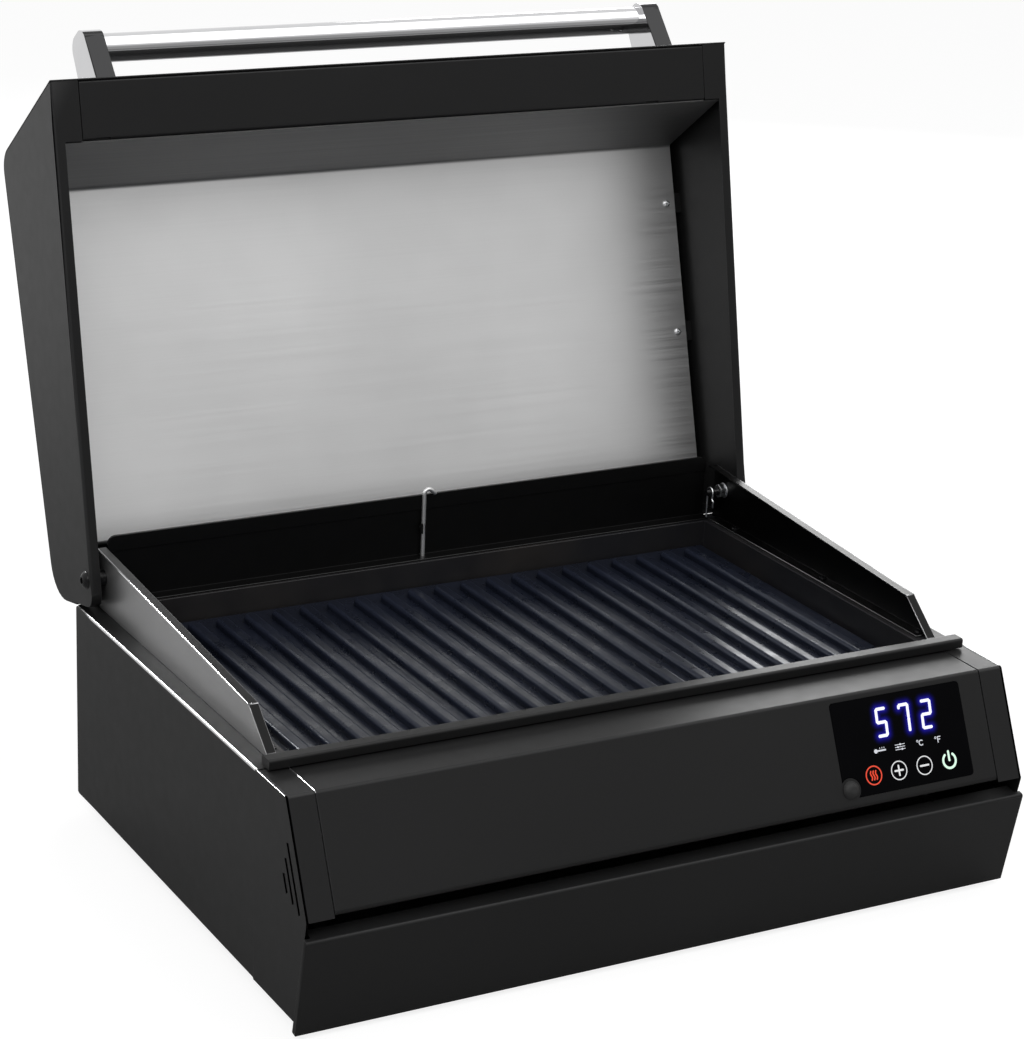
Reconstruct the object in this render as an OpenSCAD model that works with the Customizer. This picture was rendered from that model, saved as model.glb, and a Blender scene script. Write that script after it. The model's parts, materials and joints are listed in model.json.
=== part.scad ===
// Countertop electric grill: a folded sheet base with a slanted control fascia,
// a ridged grill plate over a heating element, a pull-out grease tray and a
// deep hinged lid with a tube handle. Rest pose: lid open on its stop.

/* [Base] */
// Width of the base and of the lid
body_w = 560; // [520:1:640]
// Depth of the base from its front ridge to its back
body_d = 402; // [380:1:460]
// Height of the side panels
side_h = 150; // [144:1:180]
// Height of the front ridge above the side panels' lower edge
ridge_h = 77; // [70:1:84]
// How far the fascia's top edge lies behind the front ridge
brow_back = 34; // [26:1:42]
// How far the side panels' toe lies behind the front ridge
toe_back = 16; // [10:1:22]
// Thickness of the folded steel sheet
sheet = 1.2; // [1:0.1:1.6]
// Gap at the seams between neighbouring sheets
seam = 0.5; // [0.3:0.1:1]
// Outer radius of the sheet bends
bend_r = 3; // [2:0.5:5]
// Width of the inward ledge on top of the side panels
ledge_w = 28; // [24:1:32]
// Width of the small inward flanges on the side panels
flange_w = 14; // [12:1:18]
// Width of the strips at the two ends of the fascia
strip_w = 20; // [16:1:26]
// Depth of the fascia's flat top, from its brow to its rear edge
shelf_d = 44; // [40:1:48]

/* [Vents] */
// Width of a vent slot
vent_w = 2.6; // [2:0.1:4]
// Distance between neighbouring vent slots
vent_pitch = 7.2; // [6:0.2:9]
// Length of the longest vent slot on the side
vent_len = 46; // [30:1:52]

/* [Guards and trim] */
// Clear width of the ledge outside each side guard
guard_in = 14; // [13:0.5:16]
// Height of a side guard at its front end
guard_front_h = 26; // [20:1:34]
// Height of a side guard at its rear end
guard_rear_h = 44; // [40:1:52]
// How far the guard's front end leans back
guard_lean = 32; // [20:1:44]
// Width of the folded hem along the guard's edges
guard_hem = 7; // [5:0.5:8]
// Width of the guard's foot
guard_foot = 11; // [9:0.5:12]
// Height of the rear guard
rear_guard_h = 51; // [46:1:56]
// Gap between the rear guard and the back of the base
rear_guard_in = 2.1; // [2:0.1:3]
// Distance between the rear guard's ends and the side guards
rear_guard_gap = 8; // [6:0.5:10]
// Height of the doubled hem on the rear guard
rear_hem = 12; // [8:1:16]
// Depth of the trim rail behind the fascia
trim_d = 11.5; // [10:0.5:14]
// Height of the trim rail's top above the ledge
trim_h = 8; // [6:0.5:10]
// How far the trim rail's ends stop short of the sides
trim_in = 6; // [5:0.5:10]

/* [Cooking chamber] */
// Depth of the tub below the ledge
tub_h = 80; // [76:1:84]
// Thickness of the tub's sheet
tub_t = 1; // [0.8:0.1:1.2]
// Width of the tub's rim
rim_w = 11; // [10:0.5:12]
// Gap around the grill plate
plate_gap = 3; // [2:0.5:5]
// Depth of the ridges' tops below the ledge
plate_drop = 12; // [9:1:16]
// Thickness of the grill plate without its ridges
plate_t = 6; // [5:0.5:8]
// Height of a ridge
ridge_up = 6; // [4:0.5:7]
// Width of a ridge
ridge_w = 11; // [8:0.5:13]
// Distance between neighbouring ridges
ridge_pitch = 22.5; // [18:0.5:28]
// Flat margin around the ridges
plate_margin = 13; // [10:1:18]
// Width of the rails that carry the plate
rail_w = 9; // [7:0.5:12]
// Diameter of the heating element
element_d = 8; // [6.5:0.5:9]
// Gap between the element and the plate
element_gap = 4; // [3:0.5:7]
// Distance of the element's outer runs from the plate's front and rear edges
element_in = 34; // [28:1:44]
// Number of straight runs of the heating element
element_runs = 6; // [4:2:6]
// Height of the reflector above the tub's floor
reflector_up = 12; // [9:1:16]
// Width of the drain slot through the reflector and the tub
drain_w = 150; // [100:5:180]
// Depth of the drain slot
drain_d = 26; // [18:1:34]

/* [Controls] */
// Width of the touch glass
glass_w = 110; // [100:1:118]
// Distance of the glass from the front ridge
glass_up = 9; // [8:0.5:14]
// Thickness of the touch glass
glass_t = 2.4; // [2:0.2:3]
// How far the glass stands proud of the fascia
glass_proud = 0.4; // [0.2:0.1:0.6]
// Distance of the glass from the right end of the fascia
glass_in = 20; // [16:1:28]
// Distance of the glass from the brow
glass_down = 4.6; // [4:0.2:8]
// Radius of the glass corners
glass_r = 3; // [2:0.5:5]
// Radius of the rubber probe plug
plug_r = 6.5; // [5.5:0.5:7]
// Height of the probe plug's dome
plug_h = 4.5; // [3.5:0.5:6]
// Radius of the probe plug's stem
stem_r = 3; // [2.5:0.25:3.5]
// Depth of the display housing
housing_d = 11; // [9:0.5:12]
// Width of the power board
board_w = 150; // [120:5:180]
// Height of the power board
board_h = 40; // [34:1:44]

/* [Grease tray] */
// Distance of the tray's walls from the outer sides
tray_in = 40; // [38:1:60]
// Depth of the tray
tray_d = 330; // [300:2:340]
// Height of the tray's walls
tray_h = 38; // [30:1:42]
// Thickness of the tray's sheet
tray_t = 1; // [0.8:0.1:1.2]
// Width of the rim that rides on the runners
tray_rim = 8; // [6:0.5:9]
// Gap under the tray
tray_lift = 3; // [2:0.5:6]
// Thickness of the drawer front with its edge returns
front_t = 5; // [4:0.5:7]
// Gap between the fascia and the drawer front, for the fingers
finger_gap = 11; // [9:0.5:14]
// How far the drawer front reaches below the side panels
front_drop = 7; // [5:0.5:9]
// How far the drawer front reaches past the sides
front_over = 1; // [0.5:0.5:2]
// Depth of the drawer front's end returns
return_d = 45; // [36:1:52]

/* [Feet and inlet] */
// Height of the counter gap under the side panels
foot_h = 12; // [10:1:20]
// Radius of a foot
foot_r = 14; // [11:0.5:17]
// Distance of a foot's centre from the side panels and the back
foot_in = 45; // [40:1:60]
// Width of the power inlet's opening
inlet_w = 24; // [22:0.5:27]
// Height of the power inlet's opening
inlet_h = 16; // [15:0.5:19]
// Depth of the power inlet's opening
inlet_d = 18; // [16:0.5:22]
// Distance of the inlet's centre from the right side
inlet_in = 80; // [70:1:130]
// Height of the inlet's centre above the pan
inlet_up = 42; // [34:1:50]

/* [Hinge] */
// Height of the hinge axis above the ledge
hinge_up = 26.3; // [24:0.1:30]
// Distance of the hinge axis from the back of the base
hinge_in = 20.5; // [19:0.5:24]
// Angle between the closed level and the open rest of the lid
lid_open = 101.7; // [98:0.1:106]
// Radius of the hinge bolt
bolt_r = 3; // [2.5:0.25:4]
// Radius of the bolt's domed head
head_r = 6.7; // [5.5:0.1:8]
// Height of the bolt's domed head
head_h = 4; // [3:0.5:5]
// Distance across the flats of the hinge nut
nut_af = 10; // [9:0.5:11]
// Length of the bolt's free end inside the nut
bolt_tail = 11; // [9:0.5:14]
// Radial running clearance of pins and stems
run_gap = 0.05; // [0.02:0.01:0.1]
// Gap left at the stop when the lid is open
stop_gap = 0.3; // [0.2:0.1:0.5]

/* [Lid] */
// Length of the lid from its back to its front edge
lid_len = 378; // [364:1:384]
// Depth of the lid at its back
lid_back_h = 80.5; // [76:0.5:90]
// Depth of the lid at its front
lid_front_h = 116; // [104:1:126]
// How far the front of the lid leans back
lid_lean = 53; // [40:1:64]
// Distance of the hinge axis from the lid's rim
lid_rim = 9.6; // [8.5:0.1:12]
// Radius of the lid's lower back corner
heel_r = 12; // [8:1:14]
// Radius of the lid's upper back bend
nape_r = 28; // [18:1:34]
// Radius of the lid's upper front bend
crown_r = 18; // [10:1:26]
// Width of the folded hem around the side plates
lid_hem = 8; // [6:0.5:9]
// Depth of the flange behind the lid's front edge
flange_d = 44; // [38:1:46]
// Width of the two notches in the flange's inner edge
notch_w = 11; // [8:0.5:16]
// Depth of the notches
notch_d = 1.6; // [1:0.1:2.5]
// Distance of the left notch from the lid's side
notch_left = 37; // [30:1:60]
// Distance of the right notch from the lid's side
notch_right = 69; // [30:1:80]
// Width of the corner tabs beside the flange
tab_w = 21; // [16:1:26]
// Depth of the liner from the rim at the back
liner_back_h = 61; // [54:1:66]
// Depth of the liner from the rim at the front
liner_front_h = 80; // [72:1:90]
// Distance of the liner's bend from the lid's front edge
liner_bend = 80; // [70:1:92]
// Distance of the liner's ends from the sides
liner_in = 7; // [5:0.5:9]
// Radius of a rivet head
rivet_r = 3.4; // [2.5:0.1:4]

/* [Handle] */
// Radius of the handle tube
tube_r = 10.5; // [9:0.5:12]
// Wall of the handle tube
tube_t = 1.5; // [1:0.25:2]
// Height of the tube's axis above the lid's front
tube_up = 37; // [34:0.5:42]
// Distance of the tube's axis from the lid's front edge
tube_s = 31; // [28:0.5:40]
// Distance of the posts' outer faces from the sides
post_in = 40; // [30:1:70]
// Thickness of a post
post_t = 15; // [12:0.5:20]
// Width of a post at its foot
post_foot = 38; // [34:1:44]
// Width of a post at its top
post_top = 27; // [26:0.5:32]
// How far the tube enters a post
post_seat = 8; // [5:0.5:10]

/* [Hidden] */
$fn = 48;
eps = 0.01;
half_w = body_w / 2;
// Lid outline about the hinge axis, before the lid is turned to its open rest
lid_back = hinge_up * sin(lid_open) + hinge_in * cos(lid_open) - stop_gap;
lid_front = lid_len - lid_back;
lid_angle = atan2(lid_front_h, lid_lean);
lid_slope = atan2(lid_front_h - lid_back_h, lid_len - lid_lean);
crown = [-lid_front + lid_lean, lid_front_h - lid_rim];
// Lower edge of the lid's back wall: it rests on the base's back edge when the lid is open
wall_low = hinge_in * sin(lid_open) - hinge_up * cos(lid_open) - sheet;
// Rearmost reach of the open lid behind the hinge axis
crown_turn = lid_angle + lid_slope;
crown_out = unit([sin(lid_slope), cos(lid_slope)] + [-sin(lid_angle), cos(lid_angle)]);
crown_mid = crown - crown_out * crown_r / cos(crown_turn / 2);
lid_reach = crown_mid.x * cos(lid_open) + crown_mid.y * sin(lid_open) + crown_r;
// The origin lies below the middle of the open grill, on the counter
toe_angle = atan2(ridge_h, -toe_back);
front_top = (ridge_h - finger_gap) / sin(toe_angle);
front_reach = body_d - toe_back - front_top * cos(toe_angle) + (front_t + seam) * sin(toe_angle);
back_y = (front_reach - (lid_reach - hinge_in)) / 2;
ridge_y = back_y - body_d;
brow_y = ridge_y + brow_back;
toe_y = ridge_y + toe_back;
side_z = foot_h;
top_z = side_z + side_h;
ridge_z = side_z + ridge_h;
fascia_angle = atan2(side_h - ridge_h, brow_back);
fascia_h = norm([side_h - ridge_h, brow_back]);
hinge_y = back_y - hinge_in;
hinge_z = top_z + hinge_up;
// Ledges, guards and trim
shelf_y = brow_y + shelf_d;
trim_y = shelf_y - trim_d / 2;
guard_x = half_w - guard_in;
guard_screw_x = guard_x - guard_foot / 2 - sheet / 2;
guard_y = trim_y + trim_d + 8;
rear_guard_y = back_y - rear_guard_in;
guard_back_y = rear_guard_y - 2 * sheet - seam;
// Chamber
tub_x = half_w - ledge_w - seam;
tub_front_y = trim_y + trim_d - tub_t;
ledge_back = 16;
tub_back_y = back_y - ledge_back;
tub_z = top_z - tub_h;
plate_x = tub_x - tub_t - plate_gap;
plate_y0 = tub_front_y + tub_t + plate_gap;
plate_y1 = tub_back_y - tub_t - plate_gap;
ridge_top_z = top_z - plate_drop;
plate_z = ridge_top_z - ridge_up - plate_t;
element_z = plate_z - element_gap - element_d / 2;
reflector_z = tub_z + tub_t + reflector_up;
run_y0 = plate_y0 + element_in;
run_pitch = (plate_y1 - plate_y0 - 2 * element_in) / (element_runs - 1);
run_x = plate_x - element_in - element_d / 2;
weld = 0.2;
bracket_x = run_x / 2;
bracket_t = 3;
drain_y = (tub_front_y + tub_back_y) / 2;
// Pan, feet and tray
inlet_x = half_w - inlet_in;
pan_z = side_z + sheet;
pan_top = pan_z + sheet;
pan_x = half_w - flange_w + 6;
return_x = half_w - sheet - 2.5;
return_y = front_y(side_z, -return_d) + 2;
pan_y0 = return_y;
tray_z = pan_top + tray_lift;
tray_top = tray_z + tray_h;
tray_x = half_w - tray_in;
tray_face = front_t + seam - sheet;
tray_y1 = front_y(tray_z, tray_face) + tray_d;
runner_gap = 0.2;
runner_x = tray_x + tray_rim + 1.5;
// Controls, measured up the fascia from the ridge
glass_x = half_w - strip_w - glass_in - glass_w / 2;
glass_h = fascia_h - glass_down - glass_up;
glass_y = glass_up + glass_h / 2;
plug_x = glass_x - glass_w / 2 + 6;
plug_y = glass_y - glass_h / 2 + 6;
plug_room = 2;
digits_w = 0.44 * glass_w;
digits_h = 0.35 * glass_h;
digits_up = 0.06 * glass_h;
fascia_return = 9;
socket_t = 2;
socket_d = 12;
shield_y = tub_front_y - 7;
board_y = shield_y - 9;
board_z = top_z - 10 - board_h;
relay_w = 28;
relay_d = 15;
// Wiring runs beside the tub
loom_r = 3.5;
loom_x = half_w - 14;
loom_z = tub_z + 12;
loom_y0 = back_y - inlet_d - 14;
loom_y1 = board_y - 8;
loom_end_x = board_w / 2 - 40;
clip_w = 10;
// Hinge
spacer_r = bolt_r + 3;
nut_t = 5;
washer_r = 6.2;
washer_t = 1;
nut_x = guard_x - sheet - washer_t;
bolt_tip = nut_x - nut_t - bolt_tail;
clip_x = bolt_tip + 4;
clip_r = 0.8;
// Liner and handle
liner_x = half_w - liner_in;
liner_back = -16;
liner_t = 0.8;
liner_screw_in = 8;
post_x = half_w - post_in - post_t;
post_h = tube_up + tube_r + 1.5;
post_bite = (tube_up - tube_r) * 0.6;
probe_r = 1.6;
probe_y = rear_guard_y - 2 * sheet - probe_r - 0.3;
screw_r = 3;
screw_h = 2.2;

// Plane geometry

function unit(v) = v / norm(v);
function wrap(a) = a > 180 ? a - 360 : a < -180 ? a + 360 : a;
function flip(list) = [for (i = [len(list) - 1 : -1 : 0]) list[i]];
function flat(p) = [p.x, p.y];
function turn(a, b, c) = cross(flat(b - a), flat(c - b)) >= 0 ? 1 : -1;

// Arc that rounds corner b of the corners a, b, c; the third number of b is its radius
function corner_arc(a, b, c, steps) =
    b.z < eps ? [flat(b)] :
    let (
        d1 = unit(flat(a - b)),
        d2 = unit(flat(c - b)),
        half = acos(d1 * d2) / 2,
        mid = flat(b) + unit(d1 + d2) * b.z / sin(half),
        p1 = flat(b) + d1 * b.z / tan(half) - mid,
        p2 = flat(b) + d2 * b.z / tan(half) - mid,
        start = atan2(p1.y, p1.x),
        sweep = wrap(atan2(p2.y, p2.x) - start)
    )
    [for (i = [0 : steps]) mid + b.z * [cos(start + sweep * i / steps), sin(start + sweep * i / steps)]];

// Closed outline from corners [x, y, radius]
function rounded(corners, steps = 8) =
    let (n = len(corners))
    [for (i = [0 : n - 1])
        each corner_arc(corners[(i + n - 1) % n], corners[i], corners[(i + 1) % n], steps)];

// The corners of an outline, listed anticlockwise, moved inwards by d
function inset(corners, d) =
    let (n = len(corners))
    [for (i = [0 : n - 1])
        let (
            a = corners[(i + n - 1) % n],
            b = corners[i],
            c = corners[(i + 1) % n],
            e1 = unit(flat(b - a)),
            e2 = unit(flat(c - b)),
            n1 = [-e1.y, e1.x],
            n2 = [-e2.y, e2.x],
            p = flat(b) + (n1 + n2) * d / (1 + n1 * n2)
        )
        [p.x, p.y, max(b.z - d, 0)]];

// Corners of a bent sheet of thickness t on the left of a path of [x, y, bend radius]
function bent(path, t) =
    let (last = len(path) - 1)
    concat(path, flip([for (i = [0 : last])
        let (
            e1 = unit(flat(path[max(i, 1)] - path[max(i, 1) - 1])),
            e2 = unit(flat(path[min(i, last - 1) + 1] - path[min(i, last - 1)])),
            n1 = [-e1.y, e1.x],
            n2 = [-e2.y, e2.x],
            p = flat(path[i]) + (n1 + n2) * t / (1 + n1 * n2),
            inner = i == 0 || i == last || path[i].z < eps ? 0 :
                max(path[i].z - t * turn(path[i - 1], path[i], path[i + 1]), 0)
        )
        [p.x, p.y, inner]]));

// Y of the plane at distance c in front of the side panels' lower front edges, at height z
function front_y(z, c) =
    toe_y + (z - side_z - c * cos(toe_angle)) / sin(toe_angle) * cos(toe_angle) - c * sin(toe_angle);

// Frames of the slanted faces and of the open lid

// An outline in Y and Z drawn out along X between x0 and x1
module across(x0, x1) {
    translate([x0, 0, 0])
        rotate([90, 0, 90])
            linear_extrude(x1 - x0) children();
}

// An outline in X and Z drawn out along Y between y0 and y1
module along(y0, y1) {
    translate([0, y1, 0])
        rotate([90, 0, 0])
            linear_extrude(y1 - y0) children();
}

module block(low, high) {
    translate(low) cube(high - low);
}

module bar_x(r, x0, x1) {
    translate([x0, 0, 0])
        rotate([0, 90, 0])
            cylinder(r = r, h = x1 - x0);
}

module both_sides() {
    children();
    mirror([1, 0, 0]) children();
}

// Y runs up the fascia from the ridge, Z points out of it
module on_fascia() {
    translate([0, ridge_y, ridge_z])
        rotate([fascia_angle, 0, 0]) children();
}

// Y runs up the lower front from the toe, Z points out of it
module on_drawer() {
    translate([0, toe_y, side_z])
        rotate([toe_angle, 0, 0]) children();
}

// The hinge axis, with the lid turned from level to its open rest
module on_lid() {
    translate([0, hinge_y, hinge_z])
        rotate([-lid_open, 0, 0]) children();
}

// Y runs up the lid's front face from its lower edge, Z points out of it
module on_lid_front() {
    on_lid()
        translate([0, -lid_front, -lid_rim])
            rotate([lid_angle, 0, 0]) children();
}

// Y runs back along the lid's top from the crown, Z points out of it
module on_lid_top() {
    on_lid()
        translate([0, crown.x, crown.y])
            rotate([-lid_slope, 0, 0]) children();
}

// Domed screw or rivet head on the plane Z = 0
module dome(r, h) {
    ball = (r * r + h * h) / (2 * h);
    intersection() {
        translate([0, 0, h - ball]) sphere(r = ball);
        translate([0, 0, 0]) cylinder(r = r + 1, h = h + 1);
    }
}

// Screw with a domed head on Z = 0 and its shank below
module screw(r, h, shank_r, shank) {
    dome(r, h);
    translate([0, 0, -shank]) cylinder(r = shank_r, h = shank + eps);
}

// Base

function side_corners() = [
    [toe_y, side_z, 0], [back_y, side_z, 0], [back_y, top_z, bend_r],
    [brow_y, top_z, bend_r], [ridge_y, ridge_z, bend_r]
];

// Slots beside the slanted front edge, each shorter than the one before it
module side_vents() {
    first = 5.5;
    for (i = [0 : 2])
        let (len = vent_len - i * 2.3 * vent_pitch)
            if (len > vent_w)
                on_fascia()
                    translate([0, first + i * vent_pitch, -vent_pitch * (i + 1.3) - vent_w / 2])
                        block([half_w - sheet - 1, 0, 0], [half_w + 1, len, vent_w]);
}

module side_panel() {
    inner = half_w - sheet + eps;
    difference() {
        union() {
            across(half_w - sheet, half_w) polygon(rounded(side_corners()));
            block([half_w - ledge_w, shelf_y + seam, top_z - sheet], [inner, back_y - sheet, top_z]);
            block([half_w - flange_w, return_y, side_z], [inner, back_y - sheet, side_z + sheet]);
            block([half_w - flange_w, back_y - 2 * sheet, side_z], [inner, back_y - sheet, top_z]);
        }
        side_vents();
        for (z = body_screw_heights()) translate([half_w - flange_w / 2 - sheet, back_y, z]) rear_hole();
        for (y = guard_screw_rows())
            translate([guard_screw_x, y, top_z - sheet - 1]) cylinder(r = bolt_r / 2 + run_gap, h = sheet + 2);
    }
}

module left_side() { color("#2b2b2c") mirror([1, 0, 0]) side_panel(); }
module right_side() { color("#2b2b2c") side_panel(); }

function body_screw_heights() = [for (i = [0 : 2]) side_z + side_h * (i + 0.5) / 3];

module rear_hole() {
    rotate([90, 0, 0])
        translate([0, 0, -1]) cylinder(r = bolt_r / 2 + run_gap, h = 3 * sheet + 2);
}

module rear_panel() {
    slot_w = 60;
    slot_z = side_z + side_h * 0.62;
    color("#29292a") difference() {
        union() {
            block([-half_w + sheet + seam, back_y - sheet, side_z], [half_w - sheet - seam, back_y, top_z]);
            block([-half_w + ledge_w + seam, back_y - ledge_back, top_z - sheet],
                [half_w - ledge_w - seam, back_y - sheet + eps, top_z]);
        }
        for (side = [-1, 1], z = body_screw_heights())
            translate([side * (half_w - flange_w / 2 - sheet), back_y, z]) rear_hole();
        translate([inlet_x, back_y, pan_top + inlet_up])
            block([-inlet_w / 2 - 3, -sheet - 1, -inlet_h / 2 - 3], [inlet_w / 2 + 3, 1, inlet_h / 2 + 3]);
        for (side = [-1, 1], i = [0 : 3])
            translate([side * body_w / 7 - slot_w / 2, back_y - sheet - 1, slot_z + i * vent_pitch])
                cube([slot_w, sheet + 2, vent_w]);
        translate([0, probe_y, top_z - sheet - 1]) cylinder(r = probe_r + 0.3, h = sheet + 2);
    }
}

module body_screws() {
    color("#1c1c1d") both_sides()
        for (z = body_screw_heights())
            translate([half_w - flange_w / 2 - sheet, back_y, z])
                rotate([-90, 0, 0]) screw(screw_r, screw_h, bolt_r / 2, 3 * sheet);
}

module bottom_pan() {
    color("#242425") difference() {
        block([-pan_x, pan_y0, pan_z], [pan_x, back_y - 2 * sheet - seam, pan_top]);
        at_feet() translate([0, 0, pan_z - 1]) cylinder(r = bolt_r + run_gap, h = sheet + 2);
    }
}

module at_feet() {
    foot_back = back_y - foot_in;
    foot_front = pan_y0 + foot_r + 6;
    for (x = [-half_w + foot_in, half_w - foot_in], y = [foot_front, foot_back])
        translate([x, y, 0]) children();
}

module feet() {
    color("#161616") at_feet()
        rotate_extrude()
            polygon([[0, 0], [foot_r - 2, 0], [foot_r, 2], [foot_r - 2, pan_z], [bolt_r, pan_z],
                [bolt_r, pan_top + 1.5], [0, pan_top + 1.5]]);
}

// Fascia profile: along the flat top from its rear edge, over the brow, down the slanted front
function fascia_path(foot) = concat(
    [[shelf_y, top_z, 0], [brow_y, top_z, bend_r], [ridge_y, ridge_z, foot > 0 ? bend_r : 0]],
    foot > 0 ? [[ridge_y + foot, ridge_z, 0]] : []);

module corner_strip() {
    across(half_w - strip_w, half_w - sheet - seam) polygon(rounded(bent(fascia_path(0), sheet)));
}

module left_corner_strip() { color("#2c2c2d") mirror([1, 0, 0]) corner_strip(); }
module right_corner_strip() { color("#2c2c2d") corner_strip(); }

// Outline of the touch glass, grown by g, with room left for the probe plug
module glass_outline(g) {
    w = glass_w / 2 + g;
    h = glass_h / 2 + g;
    difference() {
        translate([glass_x, glass_y])
            polygon(rounded([[-w, -h, glass_r], [w, -h, glass_r], [w, h, glass_r], [-w, h, glass_r]]));
        translate([plug_x, plug_y]) circle(r = plug_r + plug_room - g);
        translate([plug_x - plug_r - plug_room, plug_y - plug_r - plug_room])
            square([plug_r + plug_room, plug_r + plug_room]);
    }
}

module front_fascia() {
    end = half_w - strip_w - seam;
    color("#2a2a2b") difference() {
        across(-end, end) polygon(rounded(bent(fascia_path(fascia_return), sheet)));
        on_fascia() {
            translate([0, 0, -2 * sheet]) linear_extrude(4 * sheet) glass_outline(run_gap + 0.2);
            translate([plug_x, plug_y, -2 * sheet]) cylinder(r = stem_r + 1, h = 4 * sheet);
        }
    }
}

module trim_rail() {
    end = half_w - trim_in;
    color("#202021")
        across(-end, end)
            polygon(rounded([[trim_y, top_z + tub_t, 0], [trim_y + trim_d, top_z + tub_t, 0],
                [trim_y + trim_d, top_z + trim_h, 2], [trim_y, top_z + trim_h, 2]]));
}

// Guards around the cooking surface

function guard_corners() = [
    [guard_y, top_z, 0], [guard_back_y, top_z, 0], [guard_back_y, top_z + guard_rear_h, 2],
    [guard_y + guard_lean, top_z + guard_front_h, 2]
];

// Lower end of the front hem, on top of the foot
function guard_hem_end() = [
    guard_y + guard_lean * (tub_t + sheet) / guard_front_h, top_z + tub_t + sheet, 0
];

// Three screws along the foot, clear of both its ends
function guard_screw_rows() = [for (i = [0 : 2]) guard_y + (guard_back_y - guard_y) * (0.05 + 0.405 * i)];

module side_guard() {
    foot_z = top_z + tub_t;
    color("#3a3a3b") difference() {
        union() {
            across(guard_x - sheet, guard_x) polygon(rounded(guard_corners()));
            across(guard_x - guard_hem, guard_x - sheet + eps)
                polygon(rounded(bent([guard_corners()[2], guard_corners()[3], guard_hem_end()], sheet)));
            block([guard_x - guard_foot, guard_y + guard_lean / 3, foot_z],
                [guard_x - sheet + eps, rear_guard_y - sheet - guard_foot - seam, foot_z + sheet]);
        }
        translate([0, hinge_y, hinge_z]) bar_x(bolt_r + run_gap, guard_x - guard_hem - 1, guard_x + 1);
        for (y = guard_screw_rows())
            translate([guard_screw_x, y, foot_z - 1])
                cylinder(r = bolt_r / 2 + run_gap, h = sheet + 2);
    }
}

module left_guard() { mirror([1, 0, 0]) side_guard(); }
module right_guard() { side_guard(); }

module rear_guard() {
    end = guard_x - sheet - rear_guard_gap;
    foot_z = top_z + tub_t;
    color("#1f1f20") {
        difference() {
            union() {
                along(rear_guard_y - sheet, rear_guard_y)
                    polygon(rounded([[-end, top_z, 0], [end, top_z, 0],
                        [end, top_z + rear_guard_h, 7], [-end, top_z + rear_guard_h, 7]]));
                along(rear_guard_y - 2 * sheet, rear_guard_y - sheet + eps)
                    polygon(rounded([[-end, top_z + rear_guard_h - rear_hem, 0],
                        [end, top_z + rear_guard_h - rear_hem, 0],
                        [end, top_z + rear_guard_h, 7], [-end, top_z + rear_guard_h, 7]]));
                block([-end, rear_guard_y - sheet - guard_foot, foot_z],
                    [end, rear_guard_y - sheet + eps, foot_z + sheet]);
            }
            translate([0, probe_y, foot_z - 1]) cylinder(r = probe_r + 0.3, h = sheet + 2);
        }
    }
}

module guard_screws() {
    color("#a9abad") both_sides()
        for (y = guard_screw_rows())
            translate([guard_screw_x, y, top_z + tub_t + sheet])
                screw(screw_r, screw_h, bolt_r / 2, sheet + tub_t + sheet);
}

// Cooking chamber

module chamber_tub() {
    rim_x = guard_x - sheet - seam;
    color("#4a4a4c") difference() {
        union() {
            block([-tub_x, tub_front_y, tub_z], [tub_x, tub_back_y, top_z + tub_t]);
            block([-rim_x, trim_y + 2, top_z], [rim_x, rear_guard_y - sheet - seam, top_z + tub_t]);
        }
        block([-tub_x + tub_t, tub_front_y + tub_t, tub_z + tub_t],
            [tub_x - tub_t, tub_back_y - tub_t, top_z + tub_t + 1]);
        drain_slot(tub_z - 1, tub_z + tub_t + 1);
        for (y = [run_y0, run_y0 + run_pitch * (element_runs - 1)])
            translate([0, y, element_z]) bar_x(element_d / 2 + 2, tub_x - tub_t - 1, tub_x + 1);
        both_sides()
            for (y = guard_screw_rows())
                translate([guard_screw_x, y, top_z - 1])
                    cylinder(r = bolt_r / 2 + run_gap, h = tub_t + 2);
        translate([0, probe_y, top_z - 1]) cylinder(r = probe_r + 0.3, h = tub_t + 2);
    }
}

module drain_slot(z0, z1) {
    block([-drain_w / 2, drain_y - drain_d / 2, z0], [drain_w / 2, drain_y + drain_d / 2, z1]);
}

module heat_reflector() {
    edge = 2 * plate_gap;
    color("#b9babb") difference() {
        union() {
            block([-plate_x + edge, plate_y0 + edge, reflector_z - tub_t],
                [plate_x - edge, plate_y1 - edge, reflector_z]);
            for (side = [-1, 1])
                translate([side * (plate_x - edge - tub_t / 2), 0, 0])
                    block([-tub_t / 2, plate_y0 + edge, tub_z + tub_t], [tub_t / 2, plate_y1 - edge, reflector_z]);
        }
        drain_slot(reflector_z - tub_t - 1, reflector_z + 1);
    }
}

// One round bend between neighbouring runs
module element_bend(x, y, side) {
    translate([x, y + run_pitch / 2, element_z])
        rotate([0, 0, side > 0 ? -90 : 90])
            rotate_extrude(angle = 180)
                translate([run_pitch / 2, 0]) circle(d = element_d + 2 * weld);
}

module heating_element() {
    color("#5b5754") {
        for (i = [0 : element_runs - 1])
            translate([0, run_y0 + i * run_pitch, element_z])
                bar_x(element_d / 2, -run_x - weld,
                    i == 0 || i == element_runs - 1 ? tub_x + 14 : run_x + weld);
        for (i = [0 : element_runs - 2])
            element_bend(i % 2 == 0 ? -run_x : run_x, run_y0 + i * run_pitch, i % 2 == 0 ? -1 : 1);
    }
}

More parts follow.
